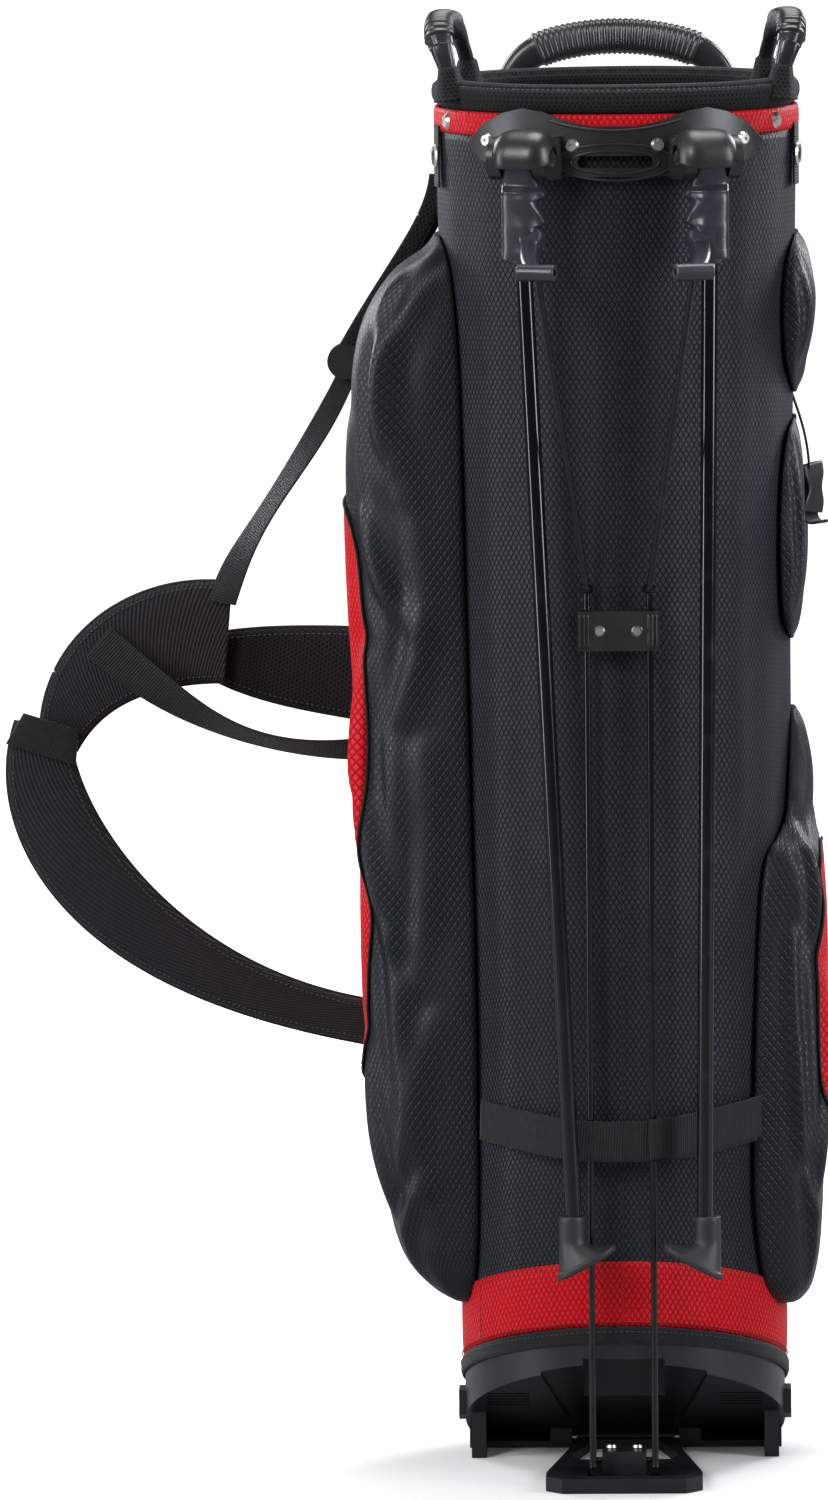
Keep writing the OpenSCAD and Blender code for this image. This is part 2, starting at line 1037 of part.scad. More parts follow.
module hanger_webbing() {
    color(strap_black)
        strap_chain([[-177, 661, 4], [-205, 615, 4], [-240, 556, 4]], 66, 3);
}

module shoulder_strap() {
    color(strap_black)
        strap_chain([[-262, 512, 30], [-300, 500, 27], [-338, 466, 22], [-357, 428, 21],
                     [-340, 382, 24], [-310, 340, 26], [-270, 300, 26], [-218, 274, 20],
                     [-130, 262, 13]], 70, 12);
}

module second_strap() {
    color(strap_black)
        strap_chain([[-226, 488, 28], [-190, 486, 32], [-120, 480, 32]], 84, 11);
}

module lower_webbing() {
    color(strap_black)
        strap_chain([[-226, 444, 10], [-190, 442, 10], [-110, 440, 10]], 70, 3);
}

body_shell();
top_collar();
cuff();
top_divider();
divider_sleeves();
stays();
top_band();
band_rivets();
grommet_tabs();
grommets();
rear_handle();
left_handle();
right_handle();
leg_crown();
crown_screws();
left_leg_pin();
right_leg_pin();
wire_guide();
guide_rivets();
base_cup();
base_hinge_pin();
base_band();
base_binding();
leg_strap();
left_pocket();
left_pocket_panel();
left_zip();
left_zip_slider();
right_upper_pocket();
right_mid_pocket();
right_lower_pocket();
right_pocket_panel();
right_zip();
right_zip_slider();
side_buckle();
hip_pad();
strap_anchor();
upper_straps();
strap_button();
hanger_webbing();
shoulder_strap();
second_strap();
lower_webbing();
left_leg_bracket();
left_leg_tube();
left_foot();
right_leg_bracket();
right_leg_tube();
right_foot();
foot_plate();
wire_clamp();
clamp_screws();
push_rod();
left_wire();
right_wire();
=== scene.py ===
"""Golf stand bag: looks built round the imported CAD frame."""

import json
import math

import bmesh
import bpy
import numpy as np
from mathutils import Matrix, Vector


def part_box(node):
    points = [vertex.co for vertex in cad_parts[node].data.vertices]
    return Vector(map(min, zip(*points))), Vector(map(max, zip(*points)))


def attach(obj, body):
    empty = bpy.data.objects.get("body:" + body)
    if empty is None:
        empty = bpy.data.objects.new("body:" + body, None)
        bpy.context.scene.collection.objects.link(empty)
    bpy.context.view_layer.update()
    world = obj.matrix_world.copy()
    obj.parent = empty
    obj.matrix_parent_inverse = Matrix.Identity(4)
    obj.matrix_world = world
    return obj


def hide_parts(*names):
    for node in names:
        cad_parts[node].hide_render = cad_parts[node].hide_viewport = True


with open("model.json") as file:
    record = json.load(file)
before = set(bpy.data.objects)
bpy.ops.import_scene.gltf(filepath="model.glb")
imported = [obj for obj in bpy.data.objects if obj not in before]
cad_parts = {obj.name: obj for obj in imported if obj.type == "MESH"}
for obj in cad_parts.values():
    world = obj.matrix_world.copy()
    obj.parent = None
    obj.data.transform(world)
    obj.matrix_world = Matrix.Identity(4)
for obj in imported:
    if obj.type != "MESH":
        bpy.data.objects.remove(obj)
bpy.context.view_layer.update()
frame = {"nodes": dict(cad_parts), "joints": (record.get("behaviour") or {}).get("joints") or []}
MM = 0.001
TAU = 2 * math.pi


# ---------------------------------------------------------------- shader helpers

class Shader:
    """A material whose nodes are made with short calls, most of which return an output socket."""

    def __init__(self, name):
        self.mat = bpy.data.materials.new(name)
        self.mat.use_nodes = True
        self.tree = self.mat.node_tree
        self.tree.nodes.clear()
        self.out = self.tree.nodes.new("ShaderNodeOutputMaterial")
        self.bsdf = self.tree.nodes.new("ShaderNodeBsdfPrincipled")
        self.link(self.bsdf.outputs[0], self.out.inputs[0])

    def link(self, a, b):
        self.tree.links.new(a, b)

    def put(self, socket, value):
        if isinstance(value, bpy.types.NodeSocket):
            self.link(value, socket)
        else:
            socket.default_value = value

    def node(self, kind, inputs=(), output=0, **settings):
        n = self.tree.nodes.new(kind)
        for key, value in settings.items():
            setattr(n, key, value)
        for key, value in dict(inputs).items():
            self.put(n.inputs[key], value)
        return n.outputs[output]

    def calc(self, operation, a, b=0.0, c=0.0):
        return self.node("ShaderNodeMath", {0: a, 1: b, 2: c}, operation=operation)

    def mix(self, factor, a, b):
        n = self.tree.nodes.new("ShaderNodeMix")
        n.data_type = "RGBA"
        self.put(n.inputs[0], factor)
        self.put(n.inputs[6], a)
        self.put(n.inputs[7], b)
        return n.outputs[2]

    def step(self, value, low, high, out_low=0.0, out_high=1.0):
        return self.node("ShaderNodeMapRange",
                         {"Value": value, "From Min": low, "From Max": high,
                          "To Min": out_low, "To Max": out_high},
                         interpolation_type="SMOOTHSTEP")

    def noise(self, scale, detail=3.0, rough=0.5, vector=None):
        if vector is None:
            vector = self.node("ShaderNodeTexCoord", output=3)
        return self.node("ShaderNodeTexNoise",
                         {"Vector": vector, "Scale": scale, "Detail": detail, "Roughness": rough})

    def uv(self):
        """Texture coordinates in metres along and across the cloth."""
        uv = self.node("ShaderNodeUVMap", uv_map="UVMap")
        n = self.tree.nodes.new("ShaderNodeSeparateXYZ")
        self.link(uv, n.inputs[0])
        return n.outputs[0], n.outputs[1]

    def bump(self, height, distance, strength=1.0, normal=None):
        inputs = {"Height": height, "Distance": distance, "Strength": strength}
        if normal is not None:
            inputs["Normal"] = normal
        return self.node("ShaderNodeBump", inputs)

    def finish(self, color, roughness, normal=None, **extra):
        self.put(self.bsdf.inputs["Base Color"], color)
        self.put(self.bsdf.inputs["Roughness"], roughness)
        if normal is not None:
            self.link(normal, self.bsdf.inputs["Normal"])
        for key, value in extra.items():
            self.put(self.bsdf.inputs[key.replace("_", " ")], value)
        return self.mat


def rgb(r, g, b):
    return (r, g, b, 1.0)


def wave(s, value, period):
    """Cosine of a coordinate in metres, from 0 in the grooves to 1 on the ribs."""
    turned = s.calc("MULTIPLY", value, TAU / period)
    return s.calc("MULTIPLY_ADD", s.calc("COSINE", turned), 0.5, 0.5)


def jacquard(name, line, cell, sheen_color, width=3.6 * MM, height=6.2 * MM, rough=(0.42, 0.62),
             sheen=0.15, specular=0.3):
    """Cloth woven in small rhombuses: matt dark lines round smoother, lighter cells, with random patches of
    painted sheen on the cells.
    """
    s = Shader(name)
    u, v = s.uv()
    across = s.calc("DIVIDE", u, width)
    up = s.calc("DIVIDE", v, height)

    def edge(value):
        centred = s.calc("SUBTRACT", s.calc("FRACT", value), 0.5)
        return s.calc("ABSOLUTE", centred)

    rim = s.calc("MAXIMUM", edge(s.calc("ADD", across, up)), edge(s.calc("SUBTRACT", across, up)))
    in_cell = s.step(rim, 0.42, 0.29)
    threads = wave(s, s.calc("ADD", u, v), 0.55 * MM)
    # Painted sheen: random patches where the cell colour is mixed towards the lighter sheen colour.
    painted_sheen_mask = s.step(s.noise(9.0, 4.0), 0.35, 0.7)
    cell_tone = s.mix(s.calc("MULTIPLY", threads, 0.45), cell, line)
    wear_and_sheen_tone = s.mix(s.calc("MULTIPLY", painted_sheen_mask, 0.3), cell_tone, sheen_color)
    color = s.mix(in_cell, line, wear_and_sheen_tone)
    height_map = s.calc("MULTIPLY_ADD", threads, 0.18, in_cell)
    normal = s.bump(height_map, 0.22 * MM, 0.9)
    slow = s.bump(s.noise(38.0, 2.0), 0.8 * MM, 0.35, normal)
    rough_map = s.step(in_cell, 0.0, 1.0, rough[1], rough[0])
    return s.finish(color, rough_map, slow, Sheen_Weight=sheen, Sheen_Roughness=0.45,
                    Sheen_Tint=sheen_color, Specular_IOR_Level=specular)


def air_mesh(name, dark, light, pitch=3.0 * MM):
    """Spacer mesh: rows of small round holes, each row shifted by half a pitch."""
    s = Shader(name)
    u, v = s.uv()
    row = s.calc("DIVIDE", v, pitch * 0.8)
    shift = s.calc("FRACT", s.calc("MULTIPLY", s.calc("FLOOR", row), 0.5))
    col = s.calc("ADD", s.calc("DIVIDE", u, pitch), shift)
    x = s.calc("SUBTRACT", s.calc("FRACT", col), 0.5)
    y = s.calc("MULTIPLY", s.calc("SUBTRACT", s.calc("FRACT", row), 0.5), 0.8)
    r = s.calc("SQRT", s.calc("ADD", s.calc("MULTIPLY", x, x), s.calc("MULTIPLY", y, y)))
    solid = s.step(r, 0.2, 0.34)
    fuzz = s.noise(900.0, 2.0)
    tone = s.mix(s.calc("MULTIPLY", fuzz, 0.55), dark, light)
    # Painted shade: the holes are coloured near black, for the shade inside them.
    color = s.mix(solid, rgb(0.002, 0.002, 0.002), tone)
    normal = s.bump(s.calc("MULTIPLY_ADD", fuzz, 0.2, solid), 0.4 * MM, 0.9)
    return s.finish(color, 0.8, normal, Sheen_Weight=0.05, Sheen_Roughness=0.5,
                    Specular_IOR_Level=0.15)


def ribbed_cloth(name, dark, light, rib=2.3 * MM, cross=0.9 * MM, rough=0.62, depth=0.35 * MM, sheen=0.12,
                 lay=(1.0, 0.3)):
    """Webbing or twill: ribs whose count runs along lay (around, along), fine threads across them."""
    s = Shader(name)
    u, v = s.uv()
    ribs = wave(s, s.calc("MULTIPLY_ADD", v, lay[1], s.calc("MULTIPLY", u, lay[0])), rib)
    thread = wave(s, s.calc("SUBTRACT", s.calc("MULTIPLY", v, lay[0]), s.calc("MULTIPLY", u, lay[1])),
                  cross)
    grain = s.noise(260.0, 3.0)
    level = s.calc("MULTIPLY_ADD", thread, 0.35, ribs)
    # Painted shade: the grooves between ribs are coloured darker and the rib tops lighter, times a random
    # grain in the yarn.
    color = s.mix(s.calc("MULTIPLY", s.calc("MULTIPLY", level, 0.74), grain), dark, light)
    normal = s.bump(level, depth, 0.85)
    return s.finish(color, s.step(ribs, 0, 1, rough + 0.15, rough), normal,
                    Sheen_Weight=sheen, Sheen_Roughness=0.4, Specular_IOR_Level=0.3)


def moulded(name, base, lift, rough=(0.38, 0.55), grain=0.06 * MM, grain_scale=1400.0, scuff=0.35):
    """Moulded plastic with a fine spark-eroded grain, uneven gloss and light scuffs."""
    s = Shader(name)
    fine = s.noise(grain_scale, 2.0)
    broad = s.noise(22.0, 4.0, 0.6)
    scratch = s.noise(160.0, 5.0, 0.7)
    marks = s.calc("MULTIPLY", s.step(scratch, 0.60, 0.72), scuff)
    color = s.mix(s.calc("MULTIPLY", broad, 0.5), base, lift)
    wear_and_sheen_tone = s.mix(marks, color, lift)
    normal = s.bump(s.calc("MULTIPLY_ADD", broad, 0.3, fine), grain, 0.8)
    gloss = s.step(s.calc("MULTIPLY_ADD", marks, 0.5, broad), 0.3, 0.9, rough[0], rough[1])
    return s.finish(wear_and_sheen_tone, gloss, normal)


def plated(name):
    """Nickel plating: bright, warm grey, with fine wear and dull spots."""
    s = Shader(name)
    broad = s.noise(120.0, 4.0)
    fine = s.noise(1800.0, 2.0)
    color = s.mix(s.step(broad, 0.3, 0.75), rgb(0.78, 0.76, 0.70), rgb(0.58, 0.56, 0.51))
    normal = s.bump(fine, 0.02 * MM, 0.5)
    return s.finish(color, s.step(broad, 0.3, 0.8, 0.2, 0.42), normal, Metallic=1.0)


def painted_tube(name, color_a, color_b, rough):
    """Gloss stove enamel on tube: a faint orange peel and a few dull rubs."""
    s = Shader(name)
    peel = s.noise(520.0, 1.0)
    rub = s.noise(55.0, 5.0, 0.7)
    color = s.mix(s.step(rub, 0.55, 0.75), color_a, color_b)
    normal = s.bump(peel, 0.03 * MM, 0.5)
    return s.finish(color, s.step(rub, 0.45, 0.8, rough, rough + 0.08), normal, Coat_Weight=0.25,
                    Coat_Roughness=0.08, Specular_IOR_Level=0.35)


def thread(name, color):
    """Twisted sewing thread."""
    s = Shader(name)
    twist = s.noise(2500.0, 2.0)
    tone = s.mix(s.calc("MULTIPLY", twist, 0.5), color, rgb(0.12, 0.12, 0.13))
    return s.finish(tone, 0.6, s.bump(twist, 0.08 * MM, 0.8))


M = {
    "tube": jacquard("tube_jacquard", rgb(0.0005, 0.0005, 0.0008), rgb(0.022, 0.026, 0.034),
                     rgb(0.05, 0.062, 0.085), sheen=0.04, specular=0.22),
    "pocket": jacquard("pocket_jacquard", rgb(0.0006, 0.0006, 0.001), rgb(0.008, 0.010, 0.016),
                       rgb(0.02, 0.026, 0.037), rough=(0.30, 0.48), sheen=0.02, specular=0.36),
    "red": jacquard("red_jacquard", rgb(0.26, 0.002, 0.005), rgb(0.82, 0.006, 0.014),
                    rgb(0.9, 0.012, 0.022), rough=(0.45, 0.6), sheen=0.0, specular=0.15),
    "mesh": air_mesh("air_mesh", rgb(0.004, 0.004, 0.005), rgb(0.032, 0.032, 0.036)),
    "lining": ribbed_cloth("lining_cloth", rgb(0.004, 0.004, 0.005), rgb(0.02, 0.02, 0.023),
                           rib=1.2 * MM),
    "webbing": ribbed_cloth("nylon_webbing", rgb(0.002, 0.002, 0.0025), rgb(0.026, 0.025, 0.028),
                            rib=1.7 * MM, rough=0.55, lay=(0.05, 1.0)),
    "strap": ribbed_cloth("strap_twill", rgb(0.003, 0.0027, 0.0036), rgb(0.026, 0.023, 0.029),
                          depth=0.5 * MM, lay=(1.0, 0.18)),
    "strap_cross": ribbed_cloth("strap_twill_across", rgb(0.003, 0.0025, 0.0035),
                                rgb(0.028, 0.025, 0.031), depth=0.5 * MM, lay=(0.45, 0.95)),
    "binding": ribbed_cloth("edge_binding", rgb(0.002, 0.002, 0.0025), rgb(0.014, 0.014, 0.017),
                            rib=1.1 * MM, rough=0.6, lay=(0.1, 1.0)),
    "handle": moulded("handle_plastic", rgb(0.010, 0.010, 0.011), rgb(0.028, 0.028, 0.031),
                      rough=(0.25, 0.45)),
    "crown": moulded("crown_plastic", rgb(0.010, 0.009, 0.009), rgb(0.026, 0.024, 0.023),
                     rough=(0.3, 0.5), grain=0.1 * MM, grain_scale=900.0),
    "base": moulded("base_plastic", rgb(0.006, 0.006, 0.007), rgb(0.018, 0.018, 0.021),
                    rough=(0.3, 0.5)),
    "bracket": moulded("bracket_plastic", rgb(0.018, 0.020, 0.027), rgb(0.040, 0.044, 0.056),
                       rough=(0.25, 0.42)),
    "small": moulded("small_plastic", rgb(0.006, 0.006, 0.007), rgb(0.02, 0.02, 0.022)),
    "stay": moulded("fibreglass", rgb(0.45, 0.43, 0.36), rgb(0.62, 0.6, 0.52)),
    "nickel": plated("nickel_plate"),
    "leg": painted_tube("leg_enamel", rgb(0.002, 0.002, 0.0025), rgb(0.012, 0.012, 0.013), 0.14),
    "wire": painted_tube("wire_enamel", rgb(0.002, 0.002, 0.0025), rgb(0.014, 0.014, 0.015), 0.2),
    "rubber": moulded("foot_rubber", rgb(0.010, 0.010, 0.011), rgb(0.028, 0.028, 0.03),
                      rough=(0.45, 0.65), grain=0.15 * MM, grain_scale=700.0),
    "thread": thread("grey_thread", rgb(0.06, 0.06, 0.066)),
    "red_thread": thread("red_thread", rgb(0.16, 0.004, 0.008)),
    "dark_thread": thread("dark_thread", rgb(0.018, 0.018, 0.021)),
}


# ---------------------------------------------------------------- mesh helpers

def face_outward(mesh):
    """Turns every face of a closed mesh outward."""
    bm = bmesh.new()
    bm.from_mesh(mesh)
    bmesh.ops.recalc_face_normals(bm, faces=bm.faces)
    bm.to_mesh(mesh)
    bm.free()


def new_piece(name, verts, faces, material, body="bag", uvs=None, replaces=(), slot=None, smooth=True):
    """Mesh piece in metres; uvs holds one (u, v) per face corner, in metres."""
    mesh = bpy.data.meshes.new(name)
    mesh.from_pydata([tuple(map(float, p)) for p in verts], [], [tuple(f) for f in faces])
    if uvs is not None:
        layer = mesh.uv_layers.new(name="UVMap")
        layer.data.foreach_set("uv", np.asarray(uvs, np.float32).ravel())
    mesh.update()
    face_outward(mesh)
    if smooth:
        mesh.shade_smooth()
    obj = bpy.data.objects.new(name, mesh)
    bpy.context.scene.collection.objects.link(obj)
    mesh.materials.append(M[material])
    if body:
        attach(obj, body)
    if replaces:
        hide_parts(*replaces)
    return obj


def grid(points, wrap_i=False, wrap_j=False, uv=None, caps=False):
    """Faces and corner UVs of a grid of points[i][j]; uv[i][j] has one more row or column when it wraps."""
    n, m = points.shape[:2]
    ni, mj = (n if wrap_i else n - 1), (m if wrap_j else m - 1)
    if uv is None:
        uv = arc_uv(points, wrap_i, wrap_j)
    faces, corners = [], []
    for i in range(ni):
        for j in range(mj):
            a, b = (i + 1) % n, (j + 1) % m
            faces.append((i * m + j, a * m + j, a * m + b, i * m + b))
            corners += [uv[i][j], uv[i + 1][j], uv[i + 1][j + 1], uv[i][j + 1]]
    if caps:
        for j, flip in ((0, False), (m - 1, True)):
            ring = [i * m + j for i in range(n)]
            faces.append(tuple(ring if flip else ring[::-1]))
            corners += [tuple(uv[i][j]) for i in (range(n) if flip else range(n - 1, -1, -1))]
    return faces, corners


def arc_uv(points, wrap_i, wrap_j):
    """UV in metres: mean arc length along each direction of the grid."""
    p = points
    if wrap_i:
        p = np.concatenate([p, p[:1]], 0)
    if wrap_j:
        p = np.concatenate([p, p[:, :1]], 1)
    du = np.linalg.norm(np.diff(p, axis=0), axis=2).mean(1)
    dv = np.linalg.norm(np.diff(p, axis=1), axis=2).mean(0)
    u = np.concatenate([[0], np.cumsum(du)])
    v = np.concatenate([[0], np.cumsum(dv)])
    return np.stack(np.meshgrid(u, v, indexing="ij"), 2)


def grid_piece(name, points, material, wrap_i=False, wrap_j=False, caps=False, **options):
    faces, corners = grid(points, wrap_i, wrap_j, caps=caps)
    return new_piece(name, points.reshape(-1, 3), faces, material, uvs=corners, **options)


def solidify(obj, thickness, offset=-1.0):
    mod = obj.modifiers.new("thickness", "SOLIDIFY")
    mod.thickness = thickness
    mod.offset = offset


def subdivide(obj):
    mod = obj.modifiers.new("smooth", "SUBSURF")
    mod.levels = mod.render_levels = 1


def bevel(obj, width, segments):
    mod = obj.modifiers.new("edges", "BEVEL")
    mod.width = width
    mod.segments = segments
    mod.limit_method = "ANGLE"
    mod.angle_limit = math.radians(35.0)
    mod.harden_normals = False


def spline(points, count, closed=False):
    """Catmull-Rom curve through points, sampled count times at even spacing."""
    p = np.asarray(points, float)
    n = len(p)
    out = []
    spans = n if closed else n - 1
    for k in range(spans):
        p0 = p[(k - 1) % n] if closed or k > 0 else 2 * p[0] - p[1]
        p1, p2 = p[k], p[(k + 1) % n]
        p3 = p[(k + 2) % n] if closed or k + 2 < n else 2 * p[-1] - p[-2]
        for t in np.linspace(0, 1, 24, endpoint=False):
            out.append(0.5 * ((2 * p1) + (p2 - p0) * t + (2 * p0 - 5 * p1 + 4 * p2 - p3) * t ** 2
                              + (3 * p1 - p0 - 3 * p2 + p3) * t ** 3))
    out.append(p[0] if closed else p[-1])
    out = np.array(out)
    length = np.concatenate([[0], np.cumsum(np.linalg.norm(np.diff(out, axis=0), axis=1))])
    where = np.linspace(0, length[-1], count + 1 if closed else count)
    even = np.stack([np.interp(where, length, out[:, k]) for k in range(out.shape[1])], 1)
    return even[:-1] if closed else even


def frames_along(path, side=None):
    """Tangent, side and normal at each point of a path; side is the wanted width direction."""
    tangent = np.gradient(path, axis=0)
    tangent /= np.linalg.norm(tangent, axis=1)[:, None]
    if side is None:
        side = np.tile([0.0, 0.0, 1.0], (len(path), 1))
        bad = np.abs((side * tangent).sum(1)) > 0.9
        side[bad] = [1.0, 0.0, 0.0]
    side = np.broadcast_to(np.asarray(side, float), path.shape).copy()
    side -= (side * tangent).sum(1)[:, None] * tangent
    side /= np.linalg.norm(side, axis=1)[:, None]
    return tangent, side, np.cross(tangent, side)


def sweep(name, path, section, material, side=None, scale=None, closed=False, **options):
    """Section (x along side, y along normal), in metres, carried along a path."""
    path = np.asarray(path, float)
    _, s, n = frames_along(path, side)
    section = np.asarray(section, float)
    scale = np.ones((len(path), 2)) if scale is None else np.asarray(scale)
    x = section[None, :, 0] * scale[:, :1]
    y = section[None, :, 1] * scale[:, 1:]
    points = path[:, None] + x[..., None] * s[:, None] + y[..., None] * n[:, None]
    points = points.transpose(1, 0, 2)
    return grid_piece(name, points, material, wrap_i=True, wrap_j=closed, caps=not closed, **options)


def round_section(r, count=12):
    a = np.linspace(0, TAU, count, endpoint=False)
    return np.stack([r * np.cos(a), r * np.sin(a)], 1)


def squared(value, power):
    """A sine or cosine pushed towards its ends, which makes a superellipse of an ellipse."""
    return np.sign(value) * np.abs(value) ** power


def flat_section(width, thickness, power=5.0, count=36):
    """Flat strap section: a superellipse, nearly a rectangle with round edges."""
    a = np.linspace(0, TAU, count, endpoint=False)
    return np.stack([width / 2 * squared(np.cos(a), 2 / power),
                     thickness / 2 * squared(np.sin(a), 2 / power)], 1)


def smooth_noise(points, scale, seed):
    """Repeatable soft noise between -1 and 1: a sum of sines in fixed directions."""
    rng = np.random.default_rng(seed)
    total = np.zeros(points.shape[:-1])
    for _ in range(7):
        direction = rng.normal(size=points.shape[-1])
        direction /= np.linalg.norm(direction)
        freq = scale * (0.6 + 1.6 * rng.random())
        total += np.sin(points @ direction * freq + rng.random() * TAU) * (0.5 + rng.random())
    return total / 5.0


def stitches(name, path, normals, material="thread", pitch=3.4 * MM, length=2.3 * MM, r=0.32 * MM,
             lift=0.15 * MM):
    """A row of sewn stitches lying on a surface: each is a short, low, round-ended thread."""
    path = np.asarray(path, float)
    normals = np.asarray(normals, float)
    steps = np.linalg.norm(np.diff(path, axis=0), axis=1)
    run = np.concatenate([[0], np.cumsum(steps)])
    bow = np.array([-0.6, 0.5, 0.9, 0.5, -0.6]) * r
    girth = np.array([0.35, 1.0, 1.0, 1.0, 0.35]) * r
    rings, sides = len(bow), 6
    verts, faces = [], []
    for k in range(int(run[-1] / pitch)):
        s0 = k * pitch + 0.3 * pitch
        along = np.linspace(s0, min(s0 + length, run[-1]), rings)
        spine = np.stack([np.interp(along, run, path[:, i]) for i in range(3)], 1)
        normal = np.array([np.interp(s0, run, normals[:, i]) for i in range(3)])
        normal /= np.linalg.norm(normal)
        tangent = spine[-1] - spine[0]
        tangent /= max(np.linalg.norm(tangent), 1e-9)
        side = np.cross(tangent, normal)
        start = len(verts)
        for p, b, g in zip(spine, bow, girth):
            for q in range(sides):
                a = q * TAU / sides
                verts.append(p + normal * (lift + b + g * math.sin(a)) + side * g * math.cos(a))
        for i in range(rings - 1):
            near, far = start + i * sides, start + (i + 1) * sides
            for q in range(sides):
                w = (q + 1) % sides
                faces.append((near + q, near + w, far + w, far + q))
        faces.append(tuple(start + q for q in reversed(range(sides))))
        faces.append(tuple(len(verts) - sides + q for q in range(sides)))
    new_piece(name, verts, faces, material)


# ---------------------------------------------------------------- sizes taken from the frame

def node_box(name):
    lo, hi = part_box(name)
    return np.array(lo), np.array(hi)


_, shell_hi = node_box("body_shell")
_, cup_hi = node_box("base_cup")
cuff_lo, cuff_hi = node_box("cuff")
_, band_hi = node_box("base_band")
top_band_lo, top_band_hi = node_box("top_band")
R_TOP = shell_hi[0]
CUP_R = cup_hi[1]
R_BASE = CUP_R - 0.4 * MM
Z_HIGH = shell_hi[2]
TUBE_FRONT_LOW = band_hi[2] - 40.5 * MM     # the tube's lower edge at the front, behind the red band


def tube_r(z):
    """Radius of the fabric tube at a height."""
    return R_BASE + (R_TOP - R_BASE) * (z - TUBE_FRONT_LOW) / (Z_HIGH - TUBE_FRONT_LOW)


BINDING_W = 10.6 * MM
bind_lo, bind_hi = node_box("base_binding")
RIM_SLOPE = (bind_hi[2] - bind_lo[2] - BINDING_W) / (bind_hi[1] - bind_lo[1])


def rim_z(front_z, azimuth, r):
    """Height of the slanted base rim: front_z at the front, falling towards the back."""
    return front_z - RIM_SLOPE * (R_BASE - r * np.cos(azimuth))


def ring_points(azimuth, r, z):
    """Azimuth 0 is the front (-Y), positive turns to +X."""
    a = np.asarray(azimuth)
    return np.stack([r * np.sin(a), -r * np.cos(a), np.broadcast_to(z, a.shape)], -1)


# ---------------------------------------------------------------- the bag's body

def body_tube():
    """Fabric tube: slightly proud over its stays, faintly slack between them."""
    count, rows = 264, 150
    azimuth = np.linspace(0, TAU, count, endpoint=False)[:, None]
    low = rim_z(TUBE_FRONT_LOW, azimuth, R_BASE)
    z = low + (Z_HIGH - low) * np.linspace(0, 1, rows)[None, :]
    stay_proud, flute_depth, slack_depth, skin = 1.2 * MM, 0.5 * MM, 0.9 * MM, 2.4 * MM
    stay = np.cos(4 * (azimuth - math.pi / 4)) ** 8 * stay_proud
    mid = np.sin(math.pi * np.clip((z - low) / (Z_HIGH - low), 0, 1)) ** 0.5
    flutes = np.cos(azimuth * 17 + np.sin(z * 3) * 0.5) * flute_depth
    base = ring_points(np.broadcast_to(azimuth, z.shape), 0.1, z)
    slack = smooth_noise(base * [1, 1, 0.5], 55.0, 3) * slack_depth
    outer = tube_r(z) + mid * (stay + flutes + slack - stay_proud)
    both = []
    for r in (outer, np.broadcast_to(tube_r(z) - skin - 0.2 * MM, outer.shape)):
        both.append(ring_points(np.broadcast_to(azimuth, r.shape), r, np.broadcast_to(z, r.shape)))
    loop = np.concatenate([both[0], both[1][:, ::-1]], 1)
    grid_piece("body_tube_fabric", loop, "tube", wrap_i=True, wrap_j=True, replaces=("body_shell",),
               slot="tube_fabric")


def band(name, edge_low, edge_high, radius, thickness, material, node=None, bulge=0.6 * MM, slot=None):
    """Sewn fabric band, a little fuller in the middle than at its seams.
    edge_low and edge_high are functions of azimuth, and radius is a function of height."""
    count = 220
    azimuth = np.linspace(0, TAU, count, endpoint=False)
    low, high = edge_low(azimuth), edge_high(azimuth)
    rows = []
    across = np.linspace(0, 1, 11)
    for t in across:
        full = 1 - (2 * t - 1) ** 4
        z = low + (high - low) * t
        ripple = smooth_noise(ring_points(azimuth, 0.1, t * 0.01), 60.0, 11) * 0.35 * MM * full
        rows.append(ring_points(azimuth, radius(z) + thickness + bulge * full + ripple, z))
    for t in across[::-1]:
        z = low + (high - low) * t
        rows.append(ring_points(azimuth, radius(z), z))
    points = np.array(rows).transpose(1, 0, 2)
    grid_piece(name, points, material, wrap_i=True, wrap_j=True, replaces=(node,) if node else (),
               slot=slot)


def ring_stitches(name, z, r, material="thread"):
    """Stitches round the bag; z may be a number or a function of azimuth."""
    azimuth = np.linspace(0, TAU, 400)
    height = z(azimuth) if callable(z) else z
    path = ring_points(azimuth, r, height)
    normals = ring_points(azimuth, 1.0, 0.0)
    stitches(name, path, normals, material=material)


